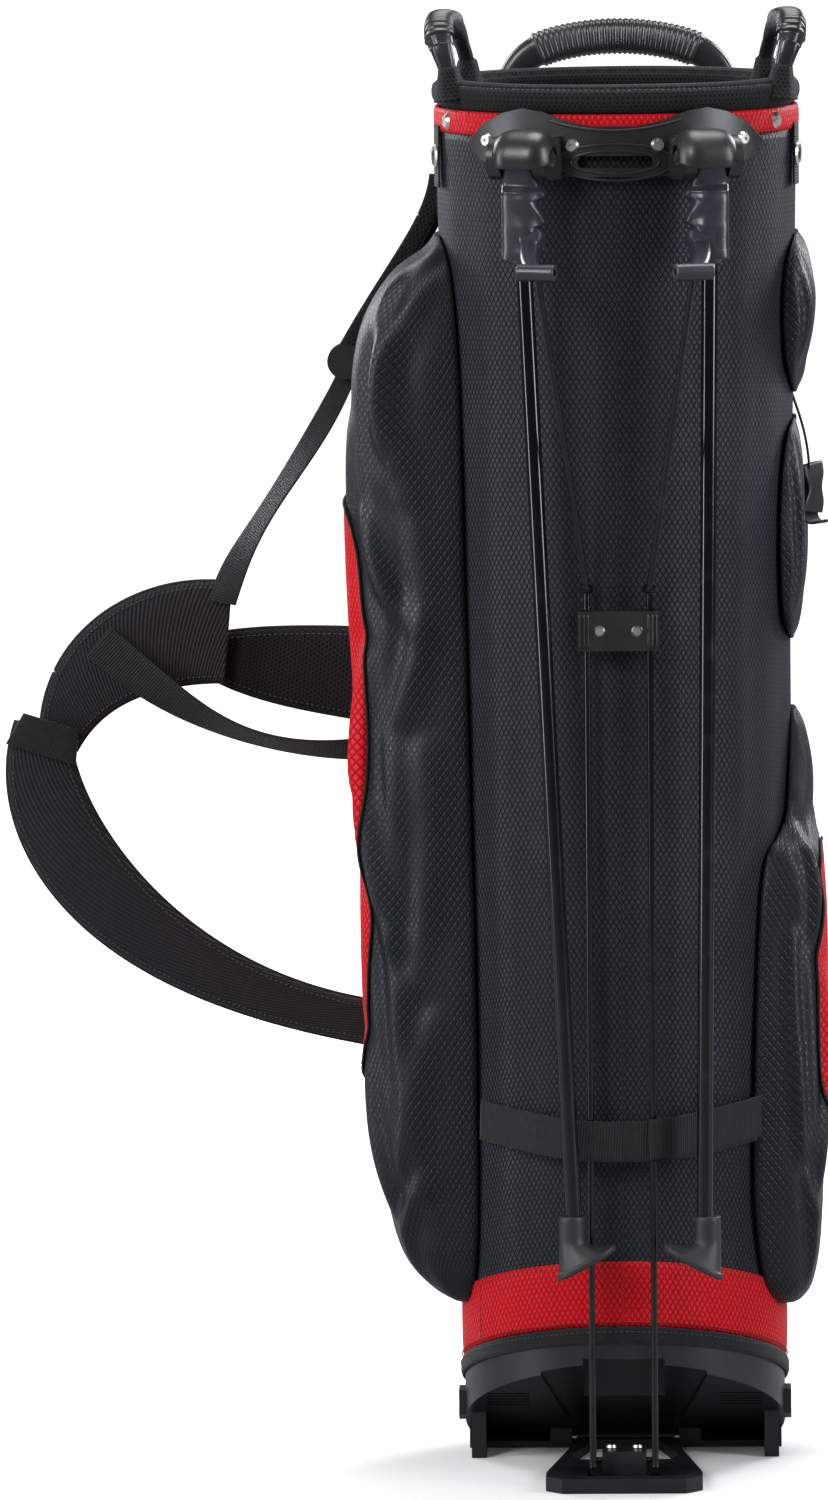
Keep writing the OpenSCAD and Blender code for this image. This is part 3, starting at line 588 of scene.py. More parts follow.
def cuff():
    """Rolled mesh cuff: an uneven padded roll with a pulled-in seam below its crest."""
    count = 240
    azimuth = np.linspace(0, TAU, count, endpoint=False)
    lo, hi = cuff_lo, cuff_hi
    thick, fullness = 19 * MM, 0.85
    seam_at, inner_seam_at, seam_width = 0.75, 2.5, 0.12      # angles round the roll's section
    outer, inner = hi[0], hi[0] - thick
    mid, roll = (outer + inner) / 2, (outer - inner) / 2
    height = hi[2] - lo[2]
    rows = []
    for t in np.linspace(0, TAU, 40, endpoint=False):
        c, s = math.cos(t), math.sin(t)
        dr = roll * np.sign(c) * abs(c) ** fullness
        dz = height / 2 * np.sign(s) * abs(s) ** fullness
        seam = math.exp(-((t - seam_at) / seam_width) ** 2) * 1.4 * MM
        seam_in = math.exp(-((t - inner_seam_at) / seam_width) ** 2) * 1.2 * MM
        pull = (1 + 0.45 * np.sin(azimuth * 46)) * (seam + seam_in)
        swell = smooth_noise(ring_points(azimuth, 0.1, 0.01 * math.sin(t)), 40.0, 5) * 0.8 * MM
        r = mid + dr * (1 - pull / roll) + swell * c * 0.6
        z = (lo[2] + hi[2]) / 2 + dz * (1 - pull / roll) + swell * max(s, 0) * 0.4
        rows.append(ring_points(azimuth, r, z))
    points = np.array(rows).transpose(1, 0, 2)
    grid_piece("cuff_mesh", points, "mesh", wrap_i=True, wrap_j=True, replaces=("cuff",),
               slot="mesh_fabric")
    r = mid + roll * abs(math.cos(seam_at)) ** fullness * 0.93
    z = (lo[2] + hi[2]) / 2 + height / 2 * abs(math.sin(seam_at)) ** fullness * 0.9
    ring_stitches("cuff_stitching", z, r)


def mouth_lining():
    """Black inner sleeve from the collar up into the cuff."""
    outer = node_box("top_collar")[1][0] - 0.3 * MM
    band("mouth_lining", level(shell_hi[2] - 2 * MM), level(cuff_lo[2] + 4 * MM),
         lambda z: outer - 2.2 * MM, 1.6 * MM, "mesh", bulge=0.2 * MM, slot="mesh_fabric")


def divider_pads():
    """Two padded bars that cross in the mouth, each a soft, rounded block in mesh cloth."""
    lo, hi = node_box("top_divider")
    half = hi[0]
    width, top, bottom = 14 * MM, hi[2], lo[2]
    for k, name in enumerate(("divider_pad_side", "divider_pad_fore")):
        length = np.linspace(-half, half, 60)
        rows = []
        for x in length:
            section = flat_section(width, top - bottom, 3.2, 32)
            end = 1 - 0.25 * math.exp(-((half - abs(x)) / (4 * MM)) ** 2)
            sag = -2.0 * MM * math.cos(math.pi * x / half / 2) * k
            centre = (top + bottom) / 2 + sag
            ring = [(x, sx * end, centre + sz) if k == 0 else (sx * end, x, centre + sz)
                    for sx, sz in section]
            rows.append(ring)
        points = np.array(rows).transpose(1, 0, 2)
        grid_piece(name, points, "mesh", wrap_i=True, caps=True,
                   replaces=("top_divider",) if k == 0 else (), slot="mesh_fabric")


def divider_panels():
    """Full-length fabric panels between the wells, slack enough to ripple."""
    lo, hi = node_box("divider_sleeves")
    for k, name in enumerate(("divider_panel_side", "divider_panel_fore")):
        z = np.linspace(lo[2], hi[2], 60)
        half = tube_r(z) - 6 * MM
        across = np.linspace(-1, 1, 40)
        x = half[None, :] * across[:, None]
        sway = (np.sin(across[:, None] * 7 + z[None, :] * 9) * np.cos(z[None, :] * 14)
                * (1 - across[:, None] ** 2) * 3.0 * MM)
        zz = np.broadcast_to(z[None, :], x.shape)
        points = np.stack([x, sway, zz] if k == 0 else [sway, x, zz], 2)
        piece = grid_piece(name, points, "lining", replaces=("divider_sleeves",) if k == 0 else (),
                           slot="lining")
        solidify(piece, 1.2 * MM, 0.0)


def slanted(front_z, r=R_BASE):
    """An edge of a band that runs parallel to the slanted base rim."""
    return lambda azimuth: rim_z(front_z, azimuth, r)


def level(z):
    """An edge of a band at one height."""
    return lambda azimuth: np.full_like(azimuth, z)


def bands():
    """Red bands at both ends of the tube, the base binding, and their stitching."""
    low, high = TUBE_FRONT_LOW + 0.6 * MM, band_hi[2]
    band("red_base_band", slanted(low), slanted(high), lambda z: tube_r(z) + 0.5 * MM, 1.1 * MM,
         "red", "base_band", slot="red_fabric")
    ring_stitches("base_band_stitching_low", slanted(low + 2.5 * MM), tube_r(low) + 1.75 * MM,
                   "red_thread")
    ring_stitches("base_band_stitching_high", slanted(high - 2.5 * MM), tube_r(high) + 1.75 * MM,
                   "red_thread")
    band("base_edge_binding", slanted(bind_hi[2] - BINDING_W), slanted(bind_hi[2]),
         lambda z: CUP_R + 0.1 * MM, 1.2 * MM, "binding", "base_binding", bulge=1.2 * MM,
         slot="mesh_fabric")
    ring_stitches("base_binding_stitching", slanted(bind_hi[2] - 3 * MM), CUP_R + 2.2 * MM, "dark_thread")
    side_seam = -61      # degrees
    seam = np.full(30, math.radians(side_seam))
    z = rim_z(np.linspace(low + 2 * MM, high - 2 * MM, 30), seam, R_BASE)
    stitches("base_band_seam", ring_points(seam, tube_r(low) + 2.2 * MM, z), ring_points(seam, 1.0, 0.0),
             material="red_thread")
    r = top_band_hi[0] - 3.0 * MM
    band("red_top_band", level(top_band_lo[2]), level(top_band_hi[2] + 0.3 * MM), lambda z: r,
         2.6 * MM, "red", "top_band", bulge=0.8 * MM, slot="red_fabric")


body_tube()
bands()
cuff()
mouth_lining()
divider_pads()
divider_panels()


# ---------------------------------------------------------------- cloth simulation

def eased(shift, edges, pinned, rounds):
    """Averages a shift with its neighbours' several times, so that only broad swells and folds stay."""
    a, b = edges.T
    count = np.maximum(np.bincount(edges.ravel(), minlength=len(shift)), 1)[:, None]
    for _ in range(rounds):
        total = np.zeros_like(shift)
        np.add.at(total, a, shift[b])
        np.add.at(total, b, shift[a])
        shift = np.where(pinned[:, None], shift, (shift + total / count) / 2)
    return shift


def inflate(obj, pinned, pressure=4.0, cap=8 * MM, grow=0.0, frames=20, bending=0.5, stiff=15.0,
            rounds=12):
    """Lets a closed shell swell like padded cloth: pinned vertices stay, others move at most cap."""
    scene = bpy.context.scene
    rest = np.array([v.co for v in obj.data.vertices], float)
    group = obj.vertex_groups.new(name="pin")
    group.add([int(i) for i in np.nonzero(pinned)[0]], 1.0, "REPLACE")
    mod = obj.modifiers.new("cloth", "CLOTH")
    cloth = mod.settings
    cloth.quality = 6
    cloth.mass = 0.25
    cloth.tension_stiffness = cloth.compression_stiffness = stiff
    cloth.shear_stiffness = stiff / 2
    cloth.bending_stiffness = bending
    cloth.use_pressure = True
    cloth.uniform_pressure_force = pressure
    cloth.shrink_min = -grow
    cloth.vertex_group_mass = "pin"
    cloth.effector_weights.gravity = 0.0
    mod.collision_settings.use_collision = False
    mod.point_cache.frame_start, mod.point_cache.frame_end = 1, frames
    for f in range(1, frames + 1):
        scene.frame_set(f)
    graph = bpy.context.evaluated_depsgraph_get()
    shaped = obj.evaluated_get(graph).to_mesh()
    moved = np.array([v.co for v in shaped.vertices], float)
    obj.evaluated_get(graph).to_mesh_clear()
    obj.modifiers.remove(mod)
    obj.vertex_groups.remove(group)
    scene.frame_set(1)
    shift = moved - rest
    length = np.linalg.norm(shift, axis=1)[:, None]
    shift *= np.minimum(1.0, cap / np.maximum(length, 1e-9))
    shift = eased(shift, np.array([e.vertices for e in obj.data.edges]), np.asarray(pinned), rounds)
    obj.data.vertices.foreach_set("co", (rest + shift).astype(np.float32).ravel())
    obj.data.update()


# ---------------------------------------------------------------- pockets

def fold_field(s, z, folds):
    """Height of soft folds over the cloth: each fold is a bent ridge between two points."""
    total = np.zeros(np.broadcast(s, z).shape)
    for s0, z0, s1, z1, bend, width, height in folds:
        ds, dz = s1 - s0, z1 - z0
        length2 = ds * ds + dz * dz
        t = np.clip(((s - s0) * ds + (z - z0) * dz) / length2, 0, 1)
        arch = bend * np.sin(math.pi * t)
        length = math.sqrt(length2)
        px = s0 + ds * t - dz / length * arch
        pz = z0 + dz * t + ds / length * arch
        d = np.hypot(s - px, z - pz)
        fade = np.sin(math.pi * np.clip(t * 0.9 + 0.05, 0, 1)) ** 0.5
        ridge = np.exp(-(d / width) ** 2)
        hollow = np.exp(-((d - 1.8 * width) / width) ** 2)
        total += height * fade * (ridge - 0.45 * hollow)
    return total


def pocket(name, nodes, side, profile, folds, seed, power=0.62, rows=130, outer=64, slack=2.0 * MM,
           pressure=3.0, cap=4 * MM, grow=0.03, slot="pocket_fabric"):
    """Bellows pocket: a fabric shell whose outer reach and front and back seams follow a profile.
    profile rows are (height, reach, front seam y, back seam y) in millimetres, and folds rows are
    (y, height) of both ends, bend, width and height of the ridge."""
    rule = spline(np.array(profile) * MM, rows)
    z, reach, y0, y1 = rule.T
    phi = np.linspace(-math.pi / 2, math.pi / 2, outer)[:, None]
    yc, yh = (y0 + y1) / 2, (y1 - y0) / 2
    sine = squared(np.sin(phi), power)
    cosine = np.abs(np.cos(phi)) ** power
    skin = tube_r(z) + 1.0 * MM
    y = yc + yh * sine
    wall = np.sqrt(np.maximum(skin ** 2 - np.minimum(np.abs(y), skin) ** 2, 0))
    x = wall + (np.maximum(reach, skin + 1 * MM) - wall) * cosine
    zz = np.broadcast_to(z, x.shape)
    arc = yh * phi / (math.pi / 2) * 1.5
    height = fold_field(arc + yc, zz, [tuple(np.array(f) * MM) for f in folds])
    ripple = smooth_noise(np.stack([x, y, zz * 0.6], 2), 70.0, seed) * slack
    edge = np.cos(phi) ** 0.5 * np.sin(np.linspace(0.02, math.pi - 0.02, rows)) ** 0.35
    normal = np.stack([cosine + 0.15, sine], 2)
    normal /= np.linalg.norm(normal, axis=2)[..., None]
    normal = np.broadcast_to(normal, x.shape + (2,))
    push = (height + ripple) * edge
    shell = np.stack([side * (x + push * normal[..., 0]), y + push * normal[..., 1], zz], 2)
    inner = 20
    yi = np.linspace(1, 0, inner + 2)[1:-1, None]
    y_in = y0 + (y1 - y0) * yi
    x_in = np.sqrt(np.maximum((skin - 0.6 * MM) ** 2 - y_in ** 2, 0))
    back = np.stack([side * x_in, y_in, np.broadcast_to(z, x_in.shape)], 2)
    points = np.concatenate([shell, back], 0)
    piece = grid_piece(name, points, "pocket", wrap_i=True, caps=True, replaces=nodes, slot=slot)
    pinned = np.zeros(points.shape[:2], bool)
    pinned[outer - 2:] = True
    pinned[:2] = True
    pinned[:, :2] = True
    pinned[:, -2:] = True
    inflate(piece, pinned.ravel(), pressure, cap, grow, rounds=40)
    subdivide(piece)
    return piece, points.shape[:2], outer


LEFT_PROFILE = [(762, 111, -18, 26), (752, 121, -36, 40), (735, 139, -46, 52), (700, 155, -52, 62),
                (650, 161, -54, 64), (560, 160, -54, 64), (430, 158, -54, 63), (300, 156, -54, 62),
                (220, 152, -52, 60), (170, 145, -50, 56), (130, 134, -46, 50), (108, 117, -38, 38),
                (100, 104, -28, 24)]
LEFT_FOLDS = [(-60, 735, -64, 610, 12, 9, 9), (-20, 740, -48, 640, -10, 8, 8),
              (-66, 600, -58, 470, -10, 8, 8), (-30, 590, -70, 520, 8, 7, 6),
              (-20, 500, -46, 330, 12, 9, 8), (-70, 450, -60, 300, -6, 7, 6),
              (0, 640, -12, 430, 8, 9, 5), (-44, 330, -40, 180, -8, 8, 7),
              (-68, 280, -56, 160, 5, 7, 6), (-10, 260, -20, 150, 6, 8, 6),
              (-60, 180, -20, 120, 8, 7, 6), (30, 600, 40, 300, 10, 10, 6),
              (60, 700, 50, 520, -8, 9, 6), (50, 260, 30, 140, 8, 9, 6)]
left_pocket = pocket("left_pocket_shell", ("left_pocket",), -1, LEFT_PROFILE, LEFT_FOLDS, 21)

RIGHT_LOW_PROFILE = [(468, 108, -6, 14), (455, 113, -14, 26), (430, 117, -20, 40), (405, 119, -26, 50),
                     (392, 120, -42, 54), (380, 121, -56, 56), (340, 122.5, -62, 58),
                     (240, 123, -64, 60), (170, 121, -63, 58), (120, 117, -54, 52),
                     (104, 110, -40, 38), (98, 103, -24, 24)]
RIGHT_LOW_FOLDS = [(-60, 420, -40, 330, 8, 7, 5), (-70, 330, -62, 200, -5, 6, 5),
                   (-30, 300, -34, 160, 6, 7, 4), (30, 400, 20, 200, 8, 8, 4),
                   (-50, 180, -30, 120, 5, 6, 4)]
right_pocket = pocket("right_lower_pocket_shell", ("right_lower_pocket",), 1, RIGHT_LOW_PROFILE,
                      RIGHT_LOW_FOLDS, 22, cap=3 * MM, slack=1.2 * MM)
RIGHT_MID_PROFILE = [(648, 107, -16, 20), (634, 111, -36, 42), (590, 112, -44, 52),
                     (530, 111, -38, 44), (511, 107, -16, 20)]
RIGHT_MID_FOLDS = [(-40, 630, -30, 540, 5, 6, 3), (20, 620, 10, 540, 5, 6, 3)]
RIGHT_TOP_PROFILE = [(762, 111, -16, 24), (748, 116, -36, 42), (722, 119, -44, 52),
                     (685, 115, -38, 44), (663, 110, -16, 24)]
RIGHT_TOP_FOLDS = [(-40, 740, -30, 690, 5, 6, 3), (20, 740, 10, 690, 5, 6, 3)]
for place, profile, folds, seed in (("mid", RIGHT_MID_PROFILE, RIGHT_MID_FOLDS, 23),
                                    ("upper", RIGHT_TOP_PROFILE, RIGHT_TOP_FOLDS, 24)):
    pocket(f"right_{place}_pocket_shell", (f"right_{place}_pocket",), 1, profile, folds, seed, rows=50,
           cap=2.5 * MM, slack=0.8 * MM)


def red_panel(name, owner, shape, outer, edges, node, across=26):
    """Red side panel with a black piped edge, sewn on a pocket.
    edges rows are (height, front, rear): millimetres and fractions of the way round the pocket."""
    points = np.array([v.co for v in owner.data.vertices], float).reshape(shape + (3,))[:outer]
    rule = spline(np.array(edges, float) * [MM, 1, 1], 110)
    mean_z = points[outer // 2, :, 2]
    order = np.argsort(mean_z)
    column = np.interp(rule[:, 0], mean_z[order], order.astype(float))
    patch = np.zeros((across, len(rule), 3))
    for j, (c, (_, front, rear)) in enumerate(zip(column, rule)):
        c0 = int(np.clip(math.floor(c), 0, points.shape[1] - 2))
        line = points[:, c0] * (1 - (c - c0)) + points[:, c0 + 1] * (c - c0)
        where = np.linspace(front, rear, across) * (outer - 1)
        for k in range(3):
            patch[:, j, k] = np.interp(where, np.arange(outer), line[:, k])
    normal = np.cross(np.gradient(patch, axis=0), np.gradient(patch, axis=1))
    normal /= np.linalg.norm(normal, axis=2)[..., None]
    normal *= np.sign((normal * patch * [1, 1, 0]).sum(2).mean())
    piece = grid_piece(name, patch + normal * 1.0 * MM, "red", replaces=(node,), slot="red_fabric")
    solidify(piece, 0.9 * MM, 0.0)
    top = patch + normal * 1.2 * MM
    rim = np.concatenate([top[:, 0], top[-1, 1:], top[-2::-1, -1], top[0, -2:0:-1]], 0)
    sweep(name + "_piping", spline(rim, 420, closed=True), round_section(0.9 * MM), "binding",
          closed=True, slot="mesh_fabric")


red_panel("left_red_panel", *left_pocket,
          [(602, 0.53, 0.56), (594, 0.47, 0.63), (575, 0.42, 0.71), (530, 0.35, 0.82), (430, 0.32, 0.84),
           (340, 0.34, 0.82), (260, 0.41, 0.72), (238, 0.47, 0.64), (228, 0.53, 0.57)], "left_pocket_panel")
red_panel("right_red_panel", *right_pocket,
          [(384, 0.49, 0.53), (374, 0.38, 0.66), (345, 0.31, 0.76), (300, 0.29, 0.80),
           (250, 0.30, 0.78), (218, 0.38, 0.67), (206, 0.49, 0.53)], "right_pocket_panel")


# ---------------------------------------------------------------- straps and webbing

def spot(node, across, up, out=0.0):
    """Point in the plane of a strap's CAD node: fractions of its box, and millimetres behind its middle."""
    lo, hi = node_box(node)
    return (lo[0] + (hi[0] - lo[0]) * across, (lo[1] + hi[1]) / 2 + out * MM,
            lo[2] + (hi[2] - lo[2]) * up)


def bezier(controls, count):
    """Bezier curve of any degree through control points, or through plain values."""
    controls = np.asarray(controls, float).reshape(len(controls), -1)
    t = np.linspace(0, 1, count)[:, None]
    n = len(controls) - 1
    return sum(math.comb(n, k) * t ** k * (1 - t) ** (n - k) * controls[k] for k in range(n + 1))


def ribbon(name, controls, halves, thickness, material, lean=(0,), count=150, power=4.0,
           replaces=(), slot="webbing", seed=1, wobble=0.8 * MM, bound=0.0, sewn=False):
    """Strap along a Bezier centre line; halves are its half widths in millimetres from end to end,
    and lean is how far it turns about its own length, in degrees."""
    mid = bezier(controls, count)
    tangent = np.gradient(mid, axis=0)
    tangent /= np.linalg.norm(tangent, axis=1)[:, None]
    flat = np.cross(tangent, (0.0, -1.0, 0.0))
    flat /= np.linalg.norm(flat, axis=1)[:, None]
    turn = np.radians(bezier(lean, count))
    side = flat * np.cos(turn) + np.cross(tangent, flat) * np.sin(turn)
    half = side * bezier(halves, count) * MM
    normal = np.cross(tangent, side)
    t = np.linspace(0, TAU, 44, endpoint=False)
    c, z = squared(np.cos(t), 2 / power), squared(np.sin(t), 2 / power)
    mid = mid + smooth_noise(mid, 38.0, seed)[:, None] * wobble * normal
    sheet = mid[:, None] + half[:, None] * c[None, :, None]
    pad = thickness / 2 * (1 + 0.16 * smooth_noise(sheet, 70.0, seed + 40))
    points = sheet + normal[:, None] * (z[None, :] * pad)[..., None]
    grid_piece(name, points.transpose(1, 0, 2), material, wrap_i=True, caps=True, replaces=replaces,
               slot=slot)
    for label, sign in (("a", 1), ("b", -1)):
        if bound:
            sweep(f"{name}_binding_{label}", mid + half * sign, round_section(bound, 10), "binding",
                  slot="webbing")
        if sewn:
            inset = np.clip(1 - 3.6 * MM / np.linalg.norm(half, axis=1)[:, None], 0.1, 1)
            for face, out in (("front", 1), ("rear", -1)):
                stitches(f"{name}_stitching_{face}_{label}",
                         mid + half * sign * inset + normal * out * thickness * 0.43,
                         normal * out, material="dark_thread")


def shoulder_straps():
    """Both carrying straps: each pad, its webbing, and the folded tip that joins two pads."""
    pad = {"slot": "strap_pad", "bound": 1.5 * MM, "sewn": True}
    main = "shoulder_strap"
    ribbon("shoulder_strap_pad_upper",
           [spot(main, 0.51, 0.885), spot(main, 0.33, 0.90), spot(main, 0.14, 0.82), spot(main, 0.10, 0.64)],
           (31, 33, 30, 22, 11), 9 * MM, "strap_cross", count=130, power=3.4, replaces=(main,), seed=5,
           **pad)
    ribbon("shoulder_strap_pad_lower",
           [spot(main, 0.065, 0.69, -6), spot(main, 0.0, 0.41, -5), spot(main, 0.39, 0.03, 2),
            spot(main, 1.11, 0.025, -4)],
           (17, 24, 30, 27, 12, 9, 17), 9 * MM, "strap", count=190, power=3.4, seed=8, **pad)
    ribbon("shoulder_strap_fold", [spot(main, 0.085, 0.70, -10), spot(main, 0.06, 0.63, -12)],
           (18, 23), 5 * MM, "binding", count=30, power=3.0, slot="strap_pad", seed=9,
           wobble=0.2 * MM)
    other = "second_strap"
    ribbon("second_strap_pad",
           [spot(other, 0.0, 0.64, -3), spot(other, 0.25, 0.52), spot(other, 0.55, 0.48),
            spot(other, 1.0, 0.36, -16)],
           (14, 25, 27, 30, 31), 10 * MM, "mesh", count=90, power=3.2, replaces=(other,), seed=6,
           wobble=1.2 * MM, **pad)
    ribbon("lower_webbing_band",
           [spot(main, 0.20, 0.87, -8), spot(main, 0.42, 0.70, -9), spot("lower_webbing", 0.15, -0.7),
            spot("lower_webbing", 1.09, 0.7, -4)],
           (12, 12, 10, 9, 9, 10), 1.7 * MM, "webbing", lean=(0, 0, 60, 110, 20, 0), power=6.0,
           replaces=("lower_webbing",), wobble=0.3 * MM)
    ribbon("hanger_webbing_band",
           [spot("strap_button", 0.60, 0.25), spot("hanger_webbing", 0.74, 0.57),
            spot("hanger_webbing", 0.06, 0.14), spot(main, 0.50, 0.95, -8)],
           (6, 7, 12, 11, 8), 1.6 * MM, "webbing", lean=(0, 30, 100, 60, 0), power=6.0,
           replaces=("hanger_webbing",), wobble=0.2 * MM)
    upper = "upper_straps"
    for k, out in enumerate((0, 7)):
        ribbon(f"upper_strap_{k + 1}",
               [spot(upper, 1.05 + 0.08 * k, 1.1, out - 4), spot(upper, 1.0 + 0.08 * k, 0.75, out),
                spot(upper, 0.55 + 0.08 * k, 0.45, out), spot("strap_button", 0.5, 0.7, out - 3)],
               (4.5, 5), 3.0 * MM, "mesh", count=70, power=4.5, seed=12 + k,
               replaces=(upper,) if k == 0 else (), wobble=0.6 * MM, bound=1.0 * MM)


def leg_band():
    """Webbing band over the wires, its free end overlapping towards the right pocket."""
    half = [(-87, -57), (-72, -77), (-50, -100), (-26, -118.8), (0, -121)]
    outline = half + [(-x, y) for x, y in half[-2::-1]]
    height, sag, reach = 219.5, 4.5, 87
    path = spline([(x * MM, y * MM, (height - sag * math.cos(x / reach * math.pi / 2)) * MM)
                   for x, y in outline], 120)
    section = flat_section(25 * MM, 1.7 * MM, 6, 32)
    up = (0.0, 0.0, 1.0)
    sweep("leg_strap_band", path, section, "webbing", side=up, replaces=("leg_strap",), slot="webbing")
    end = path[68:118].copy()
    end[:, 2] += np.linspace(1.5, 3.0, len(end)) * MM
    outward = end.copy()
    outward[:, 2] = 0
    outward /= np.linalg.norm(outward, axis=1)[:, None]
    sweep("leg_strap_free_end", end + outward * 2.0 * MM, section, "webbing", side=up,
          slot="webbing")


def tabs():
    """Webbing tabs under the grommets."""
    lo, hi = node_box("grommet_tabs")
    for k, degrees in enumerate((-77, 78)):
        azimuth = math.radians(degrees)
        z = np.linspace(lo[2], hi[2], 30)
        path = ring_points(np.full_like(z, azimuth), R_TOP + 1.9 * MM, z)
        sweep(f"grommet_tab_{k + 1}", path, flat_section(13 * MM, 1.5 * MM, 6, 28), "webbing",
              side=(math.cos(azimuth), math.sin(azimuth), 0),
              replaces=("grommet_tabs",) if k == 0 else (), slot="webbing")


def hip_pad():
    """Padded back rest: a crowned mesh cushion with two sewn channels."""
    lo, hi = node_box("hip_pad")
    cols, rows = 70, 110
    thickness, channel_at, channel_width = 19 * MM, 0.34, 0.035
    a = np.linspace(-1, 1, cols)[:, None]
    b = np.linspace(-1, 1, rows)[None, :]
    half_w, mid_z, half_h = hi[0] * 0.99, (lo[2] + hi[2]) / 2, (hi[2] - lo[2]) / 2
    corner = np.abs(a) ** 6 + np.abs(b) ** 6
    crown = np.clip(1 - corner, 0, 1) ** 0.35
    channels = np.exp(-((np.abs(b) - channel_at) / channel_width) ** 2) * 0.45
    azimuth = math.pi - a * half_w / (R_TOP - 4 * MM)
    z = mid_z + b * half_h * (1 - 0.03 * a ** 2)
    z = np.broadcast_to(z, (cols, rows))
    thick = thickness * crown * (1 - channels)
    ring = np.broadcast_to(azimuth, (cols, rows))
    front = ring_points(ring, tube_r(z) + 0.6 * MM + thick, z)
    rear = ring_points(ring, tube_r(z) + 0.5 * MM, z)
    loop = np.concatenate([front, rear[::-1]], 0)
    piece = grid_piece("hip_pad_cushion", loop, "mesh", wrap_i=True, caps=True,
                       replaces=("hip_pad",), slot="mesh_fabric")
    pinned = np.zeros(loop.shape[:2], bool)
    pinned[cols:] = True
    pinned[:2] = True
    pinned[cols - 2:cols] = True
    pinned[:, :3] = True
    pinned[:, -3:] = True
    pinned[:cols][np.broadcast_to(channels > 0.3, (cols, rows))] = True
    inflate(piece, pinned.ravel(), 4.0, 4 * MM, 0.03)
    rim = np.concatenate([front[:, 0], front[-1, 1:], front[-2::-1, -1], front[0, -2:0:-1]], 0)
    sweep("hip_pad_piping", spline(rim, 300, closed=True), round_section(2.2 * MM), "binding",
          closed=True, slot="mesh_fabric")


shoulder_straps()
leg_band()
tabs()
hip_pad()


# ---------------------------------------------------------------- handles

def ribbed_bar(name, route, section, grip, pitch, rib, node, taper=0.25):
    """Moulded handle along a route, in millimetres; ribs between the fractions given by grip."""
    ramp, ease = 0.012, 0.2
    path = spline(np.array(route, float) * MM, 420)
    run = np.concatenate([[0], np.cumsum(np.linalg.norm(np.diff(path, axis=0), axis=1))])
    share = run / run[-1]
    inside = np.clip((share - grip[0]) / ramp, 0, 1) * np.clip((grip[1] - share) / ramp, 0, 1)
    teeth = (0.5 + 0.5 * np.cos(run / pitch * TAU)) ** 0.7
    swell = 1 - taper * (1 - np.clip(inside, 0, 1)) * np.clip(
        np.minimum(np.abs(share - grip[0]), np.abs(share - grip[1])) / ease, 0, 1)
    width, depth = section
    scale = np.stack([swell + inside * (0.10 + teeth * 2 * rib / width),
                      swell + inside * (0.10 + teeth * 2 * rib / depth)], 1)
    sweep(name, path, flat_section(width, depth, 2.8, 28), "handle", scale=scale, replaces=(node,),
          slot="handle_plastic")


def handles():
    """Rear arch with its lugs, and the two side loops with the mesh sleeves they rise from."""
    arch = [(-70, 117, 812), (-70.5, 121, 832), (-67, 122, 848), (-58, 122.5, 861), (-44, 123, 869),
            (-22, 123, 874), (0, 123, 875.5)]
    arch += [(-x, y, z) for x, y, z in arch[-2::-1]]
    ribbed_bar("rear_handle_arch", arch, (19 * MM, 15 * MM), (0.27, 0.73), 3.4 * MM, 0.9 * MM,
               "rear_handle")
    across = (1.0, 0.0, 0.0)
    sleeve_foot, sleeve_rise = 846, 21
    for sign in (-1, 1):
        lug = np.array([(sign * 70, 84, 811), (sign * 70, 100, 811), (sign * 70, 113, 815),
                        (sign * 70, 118, 826)]) * MM
        sweep(f"rear_handle_lug_{'left' if sign < 0 else 'right'}", spline(lug, 20),
              flat_section(18 * MM, 16 * MM, 4, 28), "handle", slot="handle_plastic",
              side=across)
    for sign, word in ((-1, "left"), (1, "right")):
        route = [(100, -47, 850), (102.5, -47.5, 866), (106, -45, 879), (107.5, -37, 888),
                 (106.5, -22, 891), (102.5, -4, 890), (98, 14, 885), (94, 28, 874), (91.5, 36, 862),
                 (91, 38, 852)]
        route = [(sign * x, y, z) for x, y, z in route]
        ribbed_bar(f"{word}_handle_loop", route, (15 * MM, 15 * MM), (0.24, 0.60), 3.2 * MM,
                   0.8 * MM, f"{word}_handle", taper=0.42)
        for k, (x, y, lean) in enumerate(((100, -47, 2.0), (91, 38, 1.0))):
            rise = np.linspace(0, 1, 14)
            path = np.stack([sign * (x + lean * rise) * MM, np.full(14, y * MM),
                             (sleeve_foot + sleeve_rise * rise) * MM], 1)
            girth = 12.5 - 6.0 * rise ** 0.7
            girth[-1] -= 1.5
            pleat = 1 + 0.03 * np.cos(np.linspace(0, TAU, 24, endpoint=False) * 7)
            section = round_section(1.0 * MM, 24) * pleat[:, None]
            sweep(f"{word}_handle_sleeve_{k + 1}", path, section, "mesh",
                  scale=np.stack([girth * 0.9, girth * 1.5], 1), slot="mesh_fabric", side=across)


handles()


# ---------------------------------------------------------------- leg hinges and brackets

JOINTS = {joint["name"]: joint for joint in frame["joints"]}
HINGE = np.array(JOINTS["left_leg_hinge"]["pos_m"]) / MM
SPLAY = math.atan2(JOINTS["left_leg_hinge"]["axis"][1], -JOINTS["left_leg_hinge"]["axis"][0])
WIRE_PIVOT = np.array(JOINTS["left_wire_pivot"]["pos_m"])
BOSS_ANGLE, BOSS_REACH, BOSS_IN = math.radians(33), 78.0, 25.0
BOSS = (BOSS_IN, -BOSS_REACH * math.sin(BOSS_ANGLE), -BOSS_REACH * math.cos(BOSS_ANGLE))


